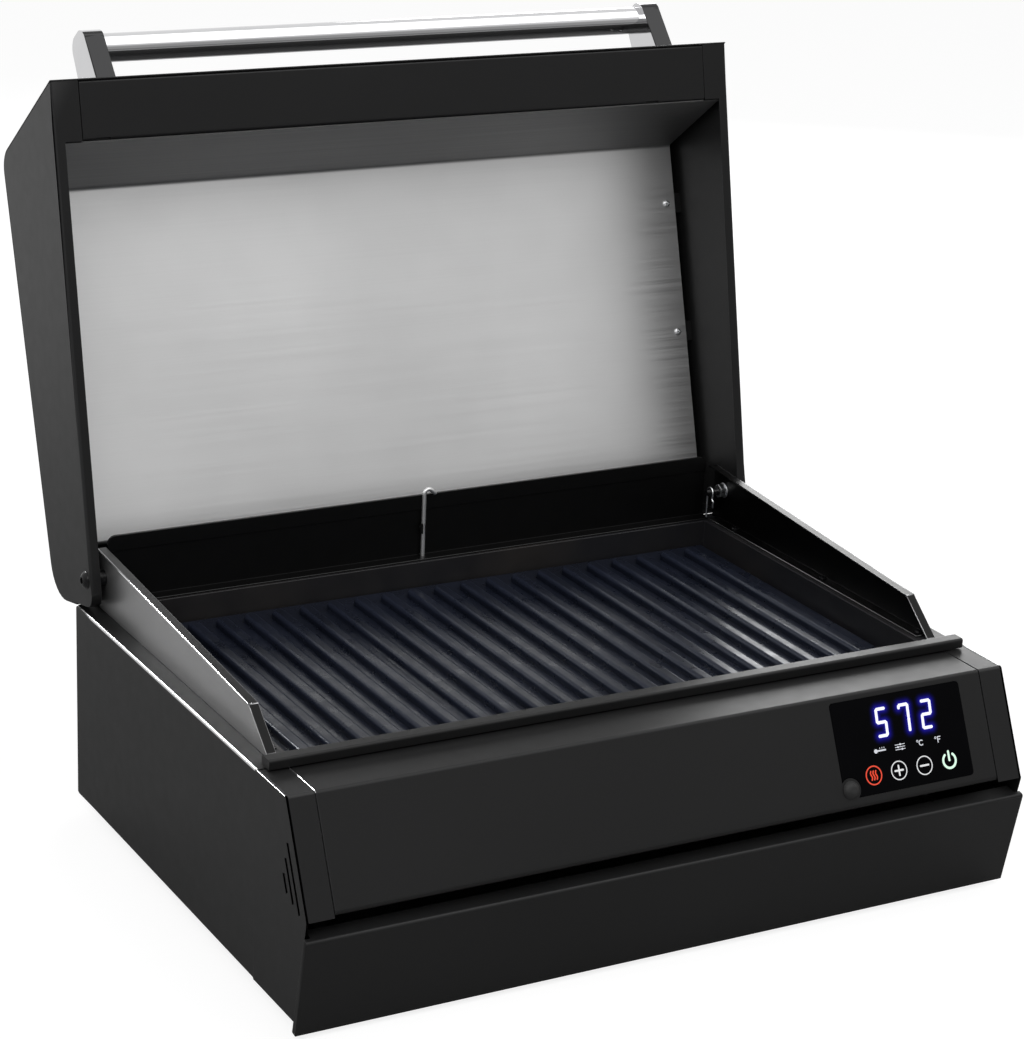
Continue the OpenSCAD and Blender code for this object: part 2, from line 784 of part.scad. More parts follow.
module element_brackets() {
    color("#9b9c9e") both_sides()
        difference() {
            block([bracket_x - bracket_t / 2, run_y0 - 12, reflector_z],
                [bracket_x + bracket_t / 2, run_y0 + run_pitch * (element_runs - 1) + 12, element_z]);
            for (i = [0 : element_runs - 1])
                translate([0, run_y0 + i * run_pitch, element_z])
                    bar_x(element_d / 2 + run_gap, bracket_x - bracket_t, bracket_x + bracket_t);
            block([bracket_x - bracket_t, drain_y - drain_d / 2 - 2, reflector_z - 1],
                [bracket_x + bracket_t, drain_y + drain_d / 2 + 2, reflector_z + 2]);
        }
}

module element_bushings() {
    color("#e6e0d2")
        for (y = [run_y0, run_y0 + run_pitch * (element_runs - 1)])
            translate([0, y, element_z])
                difference() {
                    union() {
                        bar_x(element_d / 2 + 2 - run_gap, tub_x - tub_t - 0.5, tub_x + 4);
                        bar_x(element_d / 2 + 4, tub_x, tub_x + 4);
                    }
                    bar_x(element_d / 2 + run_gap, tub_x - 10, tub_x + 10);
                }
}

module plate_rails() {
    inner = tub_x - tub_t;
    drop = 10;
    notch = element_d / 2 + 5;
    color("#55565a") difference() {
        both_sides() {
            block([inner - rail_w, plate_y0, plate_z - sheet], [inner, plate_y1, plate_z]);
            block([inner - sheet, plate_y0, plate_z - drop], [inner, plate_y1, plate_z]);
        }
        for (y = [run_y0, run_y0 + run_pitch * (element_runs - 1)])
            block([inner - 2 * sheet, y - notch, plate_z - drop - 1], [inner + 1, y + notch, plate_z - sheet]);
    }
}

// A bar with round ends in plan
module ridge(x, y0, y1) {
    translate([x, 0, plate_z + plate_t - eps])
        linear_extrude(ridge_up + eps) {
            translate([-ridge_w / 2, y0 + ridge_w / 2]) square([ridge_w, y1 - y0 - ridge_w]);
            translate([0, y0 + ridge_w / 2]) circle(d = ridge_w);
            translate([0, y1 - ridge_w / 2]) circle(d = ridge_w);
        }
}

module grill_plate() {
    ridges = 2 * floor((plate_x - plate_margin - ridge_w / 2) / ridge_pitch) + 1;
    color("#1d1f24") difference() {
        union() {
            along(plate_y0, plate_y1)
                polygon(rounded([[-plate_x, plate_z, 2], [plate_x, plate_z, 2],
                    [plate_x, plate_z + plate_t, 2], [-plate_x, plate_z + plate_t, 2]], 4));
            for (i = [0 : ridges - 1])
                ridge((i - (ridges - 1) / 2) * ridge_pitch, plate_y0 + plate_margin, plate_y1 - plate_margin);
        }
        for (i = [0 : ridges - 2])
            translate([(i - (ridges - 2) / 2) * ridge_pitch, plate_y0 + plate_margin * 1.6, plate_z - 1])
                cylinder(d = ridge_pitch - ridge_w - 5, h = plate_t + 2);
    }
}

// Wire stem against the rear guard, its free end hooked over to the right
module temperature_probe() {
    hook_r = 4.5;
    low = top_z - 30;
    bend_z = top_z + rear_guard_h;
    color("#c3c5c7") translate([0, probe_y, 0]) {
        translate([0, 0, low]) cylinder(r = probe_r, h = bend_z - low);
        translate([hook_r, 0, bend_z])
            rotate([90, 0, 0])
                rotate_extrude(angle = 180) translate([hook_r, 0]) circle(r = probe_r);
        translate([2 * hook_r, 0, bend_z - 4]) cylinder(r = probe_r, h = 4);
        translate([2 * hook_r, 0, bend_z - 4]) sphere(r = probe_r);
    }
}

module probe_clip() {
    clip_h = 8;
    color("#8d8f91")
        difference() {
            block([-5, probe_y - probe_r - 1, top_z + rear_guard_h * 0.4],
                [5, rear_guard_y - sheet, top_z + rear_guard_h * 0.4 + clip_h]);
            translate([0, probe_y, top_z]) cylinder(r = probe_r + run_gap, h = rear_guard_h);
        }
}

module thermal_cutout() {
    color("#c9c5b8")
        translate([0, drain_y, tub_z + tub_h * 0.55]) {
            bar_x(8, tub_x, tub_x + 5);
            bar_x(11, tub_x, tub_x + 1);
        }
}

// Controls behind the fascia

module heat_shield() {
    end = half_w - strip_w - 10;
    color("#aeb0b2") difference() {
        union() {
            block([-end, shield_y - tub_t, tub_z + 4], [end, shield_y, top_z - sheet]);
            block([-end, shield_y - tub_t, top_z - sheet - tub_t], [end, tub_front_y - 1, top_z - sheet]);
        }
        for (p = standoff_places())
            translate([p.x, shield_y + 1, p.y]) rotate([90, 0, 0]) cylinder(r = bolt_r / 2 + run_gap, h = 4);
    }
}

function standoff_places() = [for (x = [-1, 1], z = [0.15, 0.85])
    [x * board_w * 0.46, board_z + board_h * z]];

module board_standoffs() {
    color("#b08d3c")
        for (p = standoff_places())
            translate([p.x, shield_y - tub_t, p.y])
                rotate([90, 0, 0]) {
                    cylinder(r = 3, h = shield_y - tub_t - board_y);
                    translate([0, 0, -tub_t]) cylinder(r = bolt_r / 2, h = tub_t + eps);
                }
}

module power_board() {
    pcb_t = 1.6;
    face = board_y - pcb_t;
    color("#2f6b3a") {
        block([-board_w / 2, face, board_z], [board_w / 2, board_y, board_z + board_h]);
        for (i = [0, 1])
            translate([-board_w / 2 + 14 + i * (relay_w + 8), 0, board_z + 8])
                block([0, face - relay_d, 0], [relay_w, face + eps, board_h - 16]);
        block([board_w / 2 - 50, face - 10, board_z + 4], [board_w / 2 - 16, face + eps, board_z + 14]);
    }
}

// Cable run made of straight stretches with square knuckles at the turns
module cable(points, r) {
    for (i = [0 : len(points) - 2])
        let (a = points[i], b = points[i + 1], v = b - a, l = norm(v))
            translate(a)
                rotate([0, acos(v.z / l), atan2(v.y, v.x)]) cylinder(r = r, h = l);
    for (i = [1 : len(points) - 2])
        translate(points[i]) cube(2 * r + 1, center = true);
}

module wiring_loom() {
    inlet_z = pan_top + inlet_up;
    color("#33302e")
        cable([[inlet_x, loom_y0 + 5, inlet_z], [inlet_x, loom_y0, inlet_z], [loom_x, loom_y0, inlet_z],
            [loom_x, loom_y0, loom_z], [loom_x, loom_y1, loom_z], [loom_end_x, loom_y1, loom_z],
            [loom_end_x, loom_y1, board_z + 4]], loom_r);
}

module loom_clips() {
    color("#1b1b1c")
        for (y = [loom_y1 + 0.2 * (loom_y0 - loom_y1), loom_y1 + 0.65 * (loom_y0 - loom_y1)])
            difference() {
                block([loom_x - loom_r - 2, y - clip_w / 2, loom_z - loom_r - 2],
                    [half_w - sheet, y + clip_w / 2, loom_z + loom_r + 2]);
                translate([loom_x, y, loom_z])
                    rotate([90, 0, 0]) cylinder(r = loom_r + run_gap, h = 2 * clip_w, center = true);
            }
}

module display_housing() {
    back = -sheet - housing_d;
    color("#1a1a1b") on_fascia()
        difference() {
            translate([0, 0, back]) linear_extrude(housing_d) glass_outline(3.2);
            translate([0, 0, -glass_t + glass_proud - 5]) linear_extrude(housing_d) glass_outline(-4);
            translate([0, 0, -glass_t + glass_proud]) linear_extrude(housing_d) glass_outline(run_gap + 0.2);
            translate([glass_x - 12, glass_y - 4, back - 1]) cube([24, 8, housing_d]);
        }
}

module display_board() {
    seat = -glass_t + glass_proud - 5;
    color("#245c34") on_fascia() {
        translate([0, 0, seat]) linear_extrude(1.6) glass_outline(-4.5);
        translate([glass_x - digits_w / 2, glass_y + digits_up, seat]) cube([digits_w, digits_h, 4.8]);
    }
}

module touch_glass() {
    color("#0c0c0e") on_fascia()
        translate([0, 0, glass_proud - glass_t]) linear_extrude(glass_t) glass_outline(0);
}

module probe_socket() {
    color("#3b3c3e") on_fascia()
        translate([plug_x, plug_y, -sheet - socket_d])
            difference() {
                union() {
                    cylinder(r = stem_r + socket_t, h = socket_d);
                    translate([0, 0, socket_d]) cylinder(r = stem_r + 1 - run_gap, h = sheet);
                }
                translate([0, 0, socket_t]) cylinder(r = stem_r + run_gap, h = socket_d + sheet);
            }
}

module probe_plug() {
    color("#232324") on_fascia()
        translate([plug_x, plug_y, run_gap]) {
            dome(plug_r, plug_h);
            translate([0, 0, -socket_d + socket_t]) cylinder(r = stem_r, h = socket_d);
        }
}

// Power inlet in the back

module inlet_shape(g) {
    w = inlet_w / 2 + g;
    h = inlet_h / 2 + g;
    cut = 5;
    polygon([[-w, -h], [w, -h], [w, h - cut], [w - cut, h], [-w + cut, h], [-w, h - cut]]);
}

module power_inlet() {
    color("#171718") translate([inlet_x, 0, pan_top + inlet_up])
        difference() {
            union() {
                along(back_y, back_y + 2.5)
                    polygon(rounded([
                        [-inlet_w / 2 - 12, -inlet_h / 2 - 6, 5], [inlet_w / 2 + 12, -inlet_h / 2 - 6, 5],
                        [inlet_w / 2 + 12, inlet_h / 2 + 6, 5], [-inlet_w / 2 - 12, inlet_h / 2 + 6, 5]]));
                along(back_y - inlet_d - 4, back_y + eps) inlet_shape(2.5);
            }
            along(back_y - inlet_d, back_y + 5) inlet_shape(0);
            for (p = pin_places())
                translate([p.x - 1, back_y - inlet_d - 5, p.y - 2]) cube([2, 6, 4]);
        }
}

function pin_places() = [[-7, 1], [0, -2.5], [7, 1]];

module inlet_pins() {
    mouth = 6;
    color("#c8a24a") translate([inlet_x, 0, pan_top + inlet_up])
        for (p = pin_places())
            translate([p.x - 1, back_y - inlet_d - 9, p.y - 2]) cube([2, inlet_d - mouth + 9, 4]);
}

// Grease tray

function tray_corners(low, top, wall) = [
    [front_y(low, tray_face - wall), low, 0], [tray_y1 - wall, low, 0],
    [tray_y1 - wall, top, 0], [front_y(top, tray_face - wall), top, 0]
];

module grease_tray() {
    color("#a7a9ab") {
        difference() {
            union() {
                across(-tray_x, tray_x) polygon(rounded(tray_corners(tray_z, tray_top, 0)));
                block([-tray_x - tray_rim, front_y(tray_top, -8), tray_top - tray_t],
                    [tray_x + tray_rim, tray_y1, tray_top]);
            }
            across(-tray_x + tray_t, tray_x - tray_t)
                polygon(rounded(tray_corners(tray_z + tray_t, tray_top + 1, tray_t)));
        }
    }
}

module drawer_front() {
    end = half_w + front_over;
    low = -front_drop;
    skin = front_t + seam - sheet;
    lip = 8;
    color("#262627") on_drawer() {
        block([-end, low, skin], [end, front_top, front_t + seam]);
        block([-end, low, seam], [end, low + sheet, skin + eps]);
        block([-end, front_top - sheet, seam], [end, front_top, skin + eps]);
        block([-return_x, front_top - sheet, -lip], [return_x, front_top, seam + eps]);
        both_sides() {
            block([end - sheet, low, seam], [end, front_top, skin + eps]);
            block([return_x - sheet, low + 3, -return_d], [return_x, front_top - 10, skin + eps]);
        }
    }
}

// Angle rails that carry the tray's rim
module tray_runners() {
    seat = tray_top - tray_t - runner_gap;
    y0 = pan_y0 + 4;
    y1 = tray_y1 + 6;
    foot = 12;
    color("#8b8d90") both_sides() {
        block([runner_x, y0, pan_top], [runner_x + sheet, y1, tray_top + 4]);
        block([tray_x + 1, y0, seat - sheet], [runner_x + eps, y1, seat]);
        block([runner_x, y0, pan_top], [runner_x + foot, y1, pan_top + sheet]);
        block([tray_x - 12, tray_y1 + 1, pan_top], [runner_x + eps, tray_y1 + 2.2, seat]);
    }
}

// Hinge

module at_hinges() {
    both_sides() translate([0, hinge_y, hinge_z]) children();
}

module hinge_bolts() {
    color("#1a1a1b") at_hinges() {
        bar_x(bolt_r, bolt_tip, half_w + eps + run_gap);
        translate([half_w + run_gap, 0, 0]) rotate([0, 90, 0]) dome(head_r, head_h);
    }
}

module hinge_spacers() {
    color("#98999b") at_hinges()
        difference() {
            bar_x(spacer_r, guard_x, half_w - sheet - 0.3);
            bar_x(bolt_r + run_gap, guard_x - 1, half_w);
        }
}

module hinge_washers() {
    color("#bfc1c3") at_hinges()
        difference() {
            bar_x(washer_r, nut_x, nut_x + washer_t);
            bar_x(bolt_r + run_gap, nut_x - 1, nut_x + washer_t + 1);
        }
}

module hinge_nuts() {
    color("#c9cbcd") at_hinges()
        difference() {
            translate([nut_x - nut_t, 0, 0])
                rotate([0, 90, 0]) cylinder(d = nut_af / cos(30), h = nut_t, $fn = 6);
            bar_x(bolt_r + run_gap, nut_x - nut_t - 1, nut_x + 1);
        }
}

// Wire clip round the bolt's free end: a half turn over the bolt and two hanging legs
module hairpin_clips() {
    loop_r = bolt_r + clip_r + run_gap;
    leg = 22;
    color("#d0d2d4") at_hinges()
        translate([clip_x, 0, 0]) {
            rotate([90, 0, 90])
                rotate_extrude(angle = 180) translate([loop_r, 0]) circle(r = clip_r);
            translate([0, loop_r, -leg]) cylinder(r = clip_r, h = leg);
            translate([0, -loop_r, -leg * 0.7]) cylinder(r = clip_r, h = leg * 0.7);
        }
}

// Lid

function lid_corners(drop) = [
    [-lid_front - drop * lid_lean / lid_front_h, -lid_rim - drop, 0], [lid_back, -lid_rim - drop, heel_r],
    [lid_back, lid_back_h - lid_rim, nape_r], [crown.x, crown.y, crown_r]
];

// One bent sheet: back wall, top and slanted front
module lid_shell() {
    path = [[-lid_front, -lid_rim, 0], [crown.x, crown.y, crown_r],
        [lid_back, lid_back_h - lid_rim, nape_r], [lid_back, wall_low, 0]];
    color("#2a2a2b") difference() {
        on_lid() across(-half_w, half_w) polygon(rounded(bent(flip(path), sheet)));
        on_lid_front()
            at_handle_screws()
                translate([0, 0, -sheet - 1]) cylinder(r = bolt_r + run_gap, h = sheet + 2);
        on_lid_top()
            at_rivets()
                translate([0, 0, -sheet - 1]) cylinder(r = rivet_r / 2 + run_gap, h = sheet + 2);
    }
}

function side_plate_corners() = inset(lid_corners(sheet), sheet);

module lid_side() {
    color("#3b3b3c") on_lid()
        difference() {
            union() {
                across(half_w - sheet, half_w) polygon(rounded(side_plate_corners()));
                across(half_w - lid_hem, half_w - sheet + eps)
                    difference() {
                        polygon(rounded(side_plate_corners()));
                        polygon(rounded(inset(side_plate_corners(), sheet)));
                    }
                block([half_w - tab_w, -lid_front + sheet, -lid_rim],
                    [half_w - sheet, -lid_front + flange_d, -lid_rim + sheet]);
            }
            bar_x(bolt_r + run_gap, half_w - 2 * lid_hem, half_w + 1);
            rivet_holes();
        }
}

module rivet_holes() {
    translate([0, crown.x, crown.y])
        rotate([-lid_slope, 0, 0])
            at_rivets() translate([0, 0, -2 * sheet - 1]) cylinder(r = rivet_r / 2 + run_gap, h = 2 * sheet + 2);
}

module lid_right_side() { lid_side(); }
module lid_left_side() { mirror([1, 0, 0]) lid_side(); }

module at_rivets() {
    rows = 4;
    span = lid_len - lid_lean - nape_r - crown_r - 16;
    for (i = [0 : rows - 1], side = [-1, 1])
        translate([side * (half_w - lid_hem / 2), crown_r + 8 + span * i / (rows - 1), 0]) children();
}

module lid_rivets() {
    color("#2f2f30") on_lid_top() at_rivets() screw(rivet_r, 1.4, rivet_r / 2, 2 * sheet + 0.6);
}

// Flange behind the lid's front edge, with a lip inside and a tail up the front
module lid_front_flange() {
    end = half_w - tab_w - seam;
    tail = flange_d * 0.32;
    lip = flange_d * 0.16;
    back = -lid_front + flange_d;
    foot = -lid_front + sheet / sin(lid_angle);
    lean = [cos(lid_angle), sin(lid_angle)];
    color("#252526") on_lid()
        difference() {
            across(-end, end)
                polygon(rounded(bent([[foot + tail * lean.x, -lid_rim + tail * lean.y, 0],
                    [foot, -lid_rim, 0], [back, -lid_rim, bend_r], [back, -lid_rim + lip, 0]], sheet)));
            for (x = [notch_left - half_w, half_w - notch_right])
                block([x - notch_w / 2, back - notch_d, -lid_rim - 1],
                    [x + notch_w / 2, back + bend_r + sheet, -lid_rim + notch_d + sheet]);
        }
}

// Liner: from the back wall's top, along the lid and down to the flange
function liner_path() = [
    [liner_back + 4, crown.y - (liner_back + 4 - crown.x) * tan(lid_slope) - sheet / cos(lid_slope) - 0.3, 0],
    [liner_back, liner_back_h - lid_rim, bend_r],
    [-lid_front + liner_bend, liner_front_h - lid_rim, bend_r],
    [-lid_front + flange_d + 1, -lid_rim + sheet + 0.3, 0]
];

module lid_liner() {
    color("#b4b5b6") on_lid()
        difference() {
            across(-liner_x, liner_x) polygon(rounded(bent(flip(liner_path()), liner_t)));
            liner_holes();
        }
}

function liner_angle() = atan2(liner_front_h - liner_back_h, lid_front - liner_bend + liner_back);
function liner_rows() = [for (f = [0.18, 0.58]) -lid_front + liner_bend + f * (lid_front - liner_bend + liner_back)];
function liner_z(y) = liner_front_h - lid_rim - (y + lid_front - liner_bend) * tan(liner_angle());

module at_liner_screws() {
    both_sides()
        for (y = liner_rows())
            translate([liner_x - liner_screw_in, y, liner_z(y)])
                rotate([-liner_angle(), 0, 0]) children();
}

module liner_holes() {
    at_liner_screws() translate([0, 0, -1]) cylinder(r = bolt_r / 2 + run_gap, h = liner_t + 3);
}

// Angle brackets between the side plates and the liner's back
module liner_brackets() {
    tab = 20;
    color("#3a3a3b") on_lid()
        at_liner_screws()
            difference() {
                union() {
                    block([-7, -8, liner_t], [liner_in + liner_screw_in - sheet, 8, liner_t + sheet]);
                    block([liner_in + liner_screw_in - 2 * sheet, -8, liner_t],
                        [liner_in + liner_screw_in - sheet, 8, liner_t + tab * 0.6]);
                }
                translate([0, 0, -1]) cylinder(r = bolt_r / 2 + run_gap, h = tab);
            }
}

module liner_screws() {
    color("#b8babc") on_lid()
        at_liner_screws()
            rotate([180, 0, 0]) screw(screw_r - 0.4, screw_h - 0.4, bolt_r / 2, liner_t + sheet + 2);
}

// Handle

module handle_tube() {
    end = post_x + post_seat;
    color("#d9dadb") on_lid_front()
        translate([0, tube_s, tube_up])
            difference() {
                bar_x(tube_r, -end, end);
                bar_x(tube_r - tube_t, -end - 1, end + 1);
            }
}

module handle_post() {
    color("#c8c9ca") on_lid_front()
        difference() {
            across(post_x, post_x + post_t)
                polygon(rounded([[tube_s - post_foot / 2, 0, 0], [tube_s + post_foot / 2, 0, 0],
                    [tube_s + post_top / 2, post_h, post_top * 0.42],
                    [tube_s - post_top / 2, post_h, post_top * 0.42]]));
            translate([0, tube_s, tube_up]) bar_x(tube_r + run_gap, post_x - 1, post_x + post_seat);
            at_handle_screws() translate([0, 0, -1]) cylinder(r = bolt_r + run_gap, h = post_bite + 2);
        }
}

module right_handle_post() { handle_post(); }
module left_handle_post() { mirror([1, 0, 0]) handle_post(); }

module at_handle_screws() {
    both_sides()
        for (s = [-1, 1])
            translate([post_x + post_t / 2, tube_s + s * post_foot / 4, 0]) children();
}

module handle_screws() {
    color("#9fa1a3") on_lid_front()
        at_handle_screws()
            translate([0, 0, -sheet])
                rotate([180, 0, 0]) screw(screw_r + 2, screw_h + 0.8, bolt_r, sheet + post_bite);
}

left_side();
right_side();
rear_panel();
bottom_pan();
feet();
body_screws();
left_corner_strip();
right_corner_strip();
front_fascia();
trim_rail();
left_guard();
right_guard();
rear_guard();
guard_screws();
chamber_tub();
heat_reflector();
heating_element();
element_brackets();
element_bushings();
plate_rails();
grill_plate();
temperature_probe();
probe_clip();
thermal_cutout();
heat_shield();
power_board();
board_standoffs();
wiring_loom();
loom_clips();
display_housing();
display_board();
touch_glass();
probe_socket();
probe_plug();
power_inlet();
inlet_pins();
grease_tray();
drawer_front();
tray_runners();
hinge_bolts();
hinge_spacers();
hinge_washers();
hinge_nuts();
hairpin_clips();
lid_shell();
lid_left_side();
lid_right_side();
lid_front_flange();
lid_liner();
liner_brackets();
liner_screws();
lid_rivets();
handle_tube();
left_handle_post();
right_handle_post();
handle_screws();
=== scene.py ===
"""Looks of a countertop electric grill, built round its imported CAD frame."""

import json
import math

import bmesh
import bpy
import numpy as np
from bpy.props import FloatProperty, FloatVectorProperty, PointerProperty
from mathutils import Matrix, Vector


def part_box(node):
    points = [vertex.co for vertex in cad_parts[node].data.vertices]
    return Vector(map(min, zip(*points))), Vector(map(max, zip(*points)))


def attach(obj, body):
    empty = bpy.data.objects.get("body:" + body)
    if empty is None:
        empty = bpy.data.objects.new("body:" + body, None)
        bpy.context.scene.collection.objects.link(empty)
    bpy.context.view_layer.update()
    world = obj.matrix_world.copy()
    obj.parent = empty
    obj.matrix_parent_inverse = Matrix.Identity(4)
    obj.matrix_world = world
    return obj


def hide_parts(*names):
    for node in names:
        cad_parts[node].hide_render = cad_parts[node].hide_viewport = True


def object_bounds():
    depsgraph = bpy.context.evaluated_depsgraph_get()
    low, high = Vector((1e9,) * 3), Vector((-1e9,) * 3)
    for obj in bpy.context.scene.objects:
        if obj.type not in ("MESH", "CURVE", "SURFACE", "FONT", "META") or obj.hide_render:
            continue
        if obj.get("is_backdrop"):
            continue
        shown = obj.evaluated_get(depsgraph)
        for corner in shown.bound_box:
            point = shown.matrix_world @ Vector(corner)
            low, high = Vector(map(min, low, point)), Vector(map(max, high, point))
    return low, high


bl_info = {
    "name": "Electric grill looks",
    "version": (1, 0, 0),
    "blender": (4, 5, 0),
    "location": "View3D > Sidebar > Grill",
    "description": "Finishes, rounded sheet, display, hardware and studio of a countertop grill",
    "category": "Object",
}

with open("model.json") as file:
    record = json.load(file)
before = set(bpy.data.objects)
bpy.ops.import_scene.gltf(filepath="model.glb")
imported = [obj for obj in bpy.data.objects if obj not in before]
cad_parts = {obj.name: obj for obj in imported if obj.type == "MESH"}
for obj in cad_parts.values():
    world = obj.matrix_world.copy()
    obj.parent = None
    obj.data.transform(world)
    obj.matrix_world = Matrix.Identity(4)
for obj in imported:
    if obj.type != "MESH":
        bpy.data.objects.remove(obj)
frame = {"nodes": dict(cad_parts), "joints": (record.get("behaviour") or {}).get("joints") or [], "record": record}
CAD_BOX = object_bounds()
NODES = frame["nodes"]
BODY = {
    node: body
    for body, nodes in frame["record"]["behaviour"]["bodies"].items()
    for node in nodes
}
SLOT = {part["node"]: part["material_slot"] for part in frame["record"]["subparts"]}
JOINTS = {joint["name"]: joint for joint in frame["joints"]}
MM = 0.001
UP = Vector((0.0, 0.0, 1.0))
ACROSS = Vector((1.0, 0.0, 0.0))
# Mark of edges worn smooth and painted lighter as a highlight
EDGE_WEAR_AND_HIGHLIGHT = "edge_rub"
# Mark of faces painted darker as shade
PAINTED_SHADE = "smoke"
GLOW = "glow"
FINISH = "finish_"
WHITE = (1.0, 1.0, 1.0, 1.0)

# Points nearer than this are one point
MERGE = 0.002 * MM
# Slack when points are compared with the limits of their shape
SLACK = 0.01 * MM
# An edge that turns by more than this is sharp
SHARP = math.radians(25.0)
# Rub stays off faces wider than this
WIDE_FACE = 2.0 * MM
# Widest strip and shortest edge of a bend in the sheet, its least turn, and how far it is worn and painted lighter
# as a highlight
BEND_STRIP = 1.2 * MM
BEND_LENGTH = 6.0 * MM
BEND_TURN = math.radians(3.0)
BEND_WEAR_AND_HIGHLIGHT = 0.7
# Shortest fold, and the number of cuts that part it into lengths
FOLD_LENGTH = 8.0 * MM
FOLD_CUTS = 11
# How many times the width of a rounding a face has to be wide, so that both its edges can be rounded
TWO_EDGES = 2.2
# Rounding of a rolled end, and the length from which it is cut
ROLLED_END = 0.85 * MM
ROLLED_LENGTH = 20.0 * MM
# How deep the end or the tip of a sheet is
END_DEPTH = 1.0 * MM


def colour_setting(name, description, default):
    return FloatVectorProperty(
        name=name, description=description, subtype="COLOR", default=default, min=0.0, max=1.0)


def share_setting(name, description, default):
    return FloatProperty(
        name=name, description=description, subtype="FACTOR", default=default, min=0.0, max=1.0)


def length_setting(name, description, default):
    return FloatProperty(name=name, description=description, unit="LENGTH", default=default, min=0.0)


def angle_setting(name, description, degrees):
    return FloatProperty(name=name, description=description, subtype="ANGLE", default=math.radians(degrees))


def power_setting(name, description, default):
    return FloatProperty(name=name, description=description, unit="POWER", default=default, min=0.0)


class GrillFinish(bpy.types.PropertyGroup):
    """Colours and gloss that a user would change."""

    powder: colour_setting("Powder coat", "Black powder coat of the folded sheet", (0.0095, 0.0095, 0.0097))
    powder_rough: share_setting("Powder roughness", "Roughness of the powder coat", 0.42)
    guard: colour_setting("Guard coat", "Metallic grey coat of the side guards", (0.42, 0.42, 0.423))
    liner: colour_setting("Liner", "Brushed steel of the lid's liner", (0.76, 0.76, 0.76))
    enamel: colour_setting("Plate enamel", "Blue-black enamel of the grill plate", (0.009, 0.011, 0.019))
    chrome: colour_setting("Chrome", "Chrome of the handle", (0.64, 0.64, 0.65))
    digits: colour_setting("Digits", "Light of the digits", (0.88, 0.90, 1.0))
    halo: colour_setting("Halo", "Light that the digits spread in the glass", (0.02, 0.015, 0.55))
    heat_key: colour_setting("Heat key", "Light of the heat key", (0.85, 0.07, 0.03))
    power_key: colour_setting("Power key", "Light of the power key", (0.72, 0.98, 0.80))


class GrillSizes(bpy.types.PropertyGroup):
    """Sizes of the details that the CAD frame leaves to the scene."""

    sheet_edge: length_setting("Sheet edge", "Rounding of the cut edges of the sheet", 0.4 * MM)
    rim_edge: length_setting("Rim edge", "Rounding of the bare top edges of the base's sides", 0.55 * MM)
    fold_edge: length_setting("Fold edge", "Rounding of the folds between wide faces of the sheet", 2.2 * MM)
    hem_edge: length_setting("Hem edge", "Rounding of the hems along the guards", 1.0 * MM)
    post_edge: length_setting("Post edge", "Rounding of the handle posts", 1.2 * MM)
    ridge_edge: length_setting("Ridge edge", "Rounding along the top of the plate's ridges", 3.2 * MM)
    digit_width: length_setting("Digit width", "Width of a digit between its strokes' middles", 7.4 * MM)
    digit_height: length_setting("Digit height", "Height of a digit between its strokes' middles", 18.8 * MM)
    digit_stroke: length_setting("Digit stroke", "Width of a digit's strokes", 2.2 * MM)
    key_radius: length_setting("Key radius", "Radius of the ring round a touch key", 6.4 * MM)
    key_line: length_setting("Key line", "Width of the ring round a touch key", 0.75 * MM)
    print_height: length_setting("Print height", "How far the prints stand on the glass", 0.04 * MM)
    thread_pitch: length_setting("Thread pitch", "Pitch of the hinge bolts' thread", 1.0 * MM)


class GrillStage(bpy.types.PropertyGroup):
    """Camera and light of the studio."""

    camera_place: FloatVectorProperty(
        name="Camera place", description="Where the camera stands",
        subtype="XYZ", unit="LENGTH", default=(-0.98727, -1.76770, 0.92804))
    azimuth: angle_setting("Azimuth", "Turn of the camera round the vertical", -29.368)
    elevation: angle_setting("Elevation", "Height of the camera above the horizon", 18.928)
    roll: angle_setting("Roll", "Turn of the camera round its view", 2.353)
    lens: FloatProperty(
        name="Lens", description="Focal length on a sensor 36 mm high",
        subtype="DISTANCE_CAMERA", default=101.81, min=1.0)
    key_power: power_setting("Key light", "Power of the soft box at the front left", 26.0)
    top_power: power_setting("Top light", "Power of the soft box overhead", 20.0)
    rim_power: power_setting("Rim light", "Power of the soft box behind the left side", 22.0)
    side_power: power_setting("Side light", "Power of the soft box behind the right side", 20.0)
    room_light: FloatProperty(
        name="Room light", description="Strength of the light from all round", default=0.4, min=0.0)
    floor_white: share_setting(
        "Floor white", "Share of plain white in the floor as the camera sees it", 0.70)


def finish_of():
    return bpy.context.scene.grill_finish


def sizes_of():
    return bpy.context.scene.grill_sizes


def stage_of():
    return bpy.context.scene.grill_stage


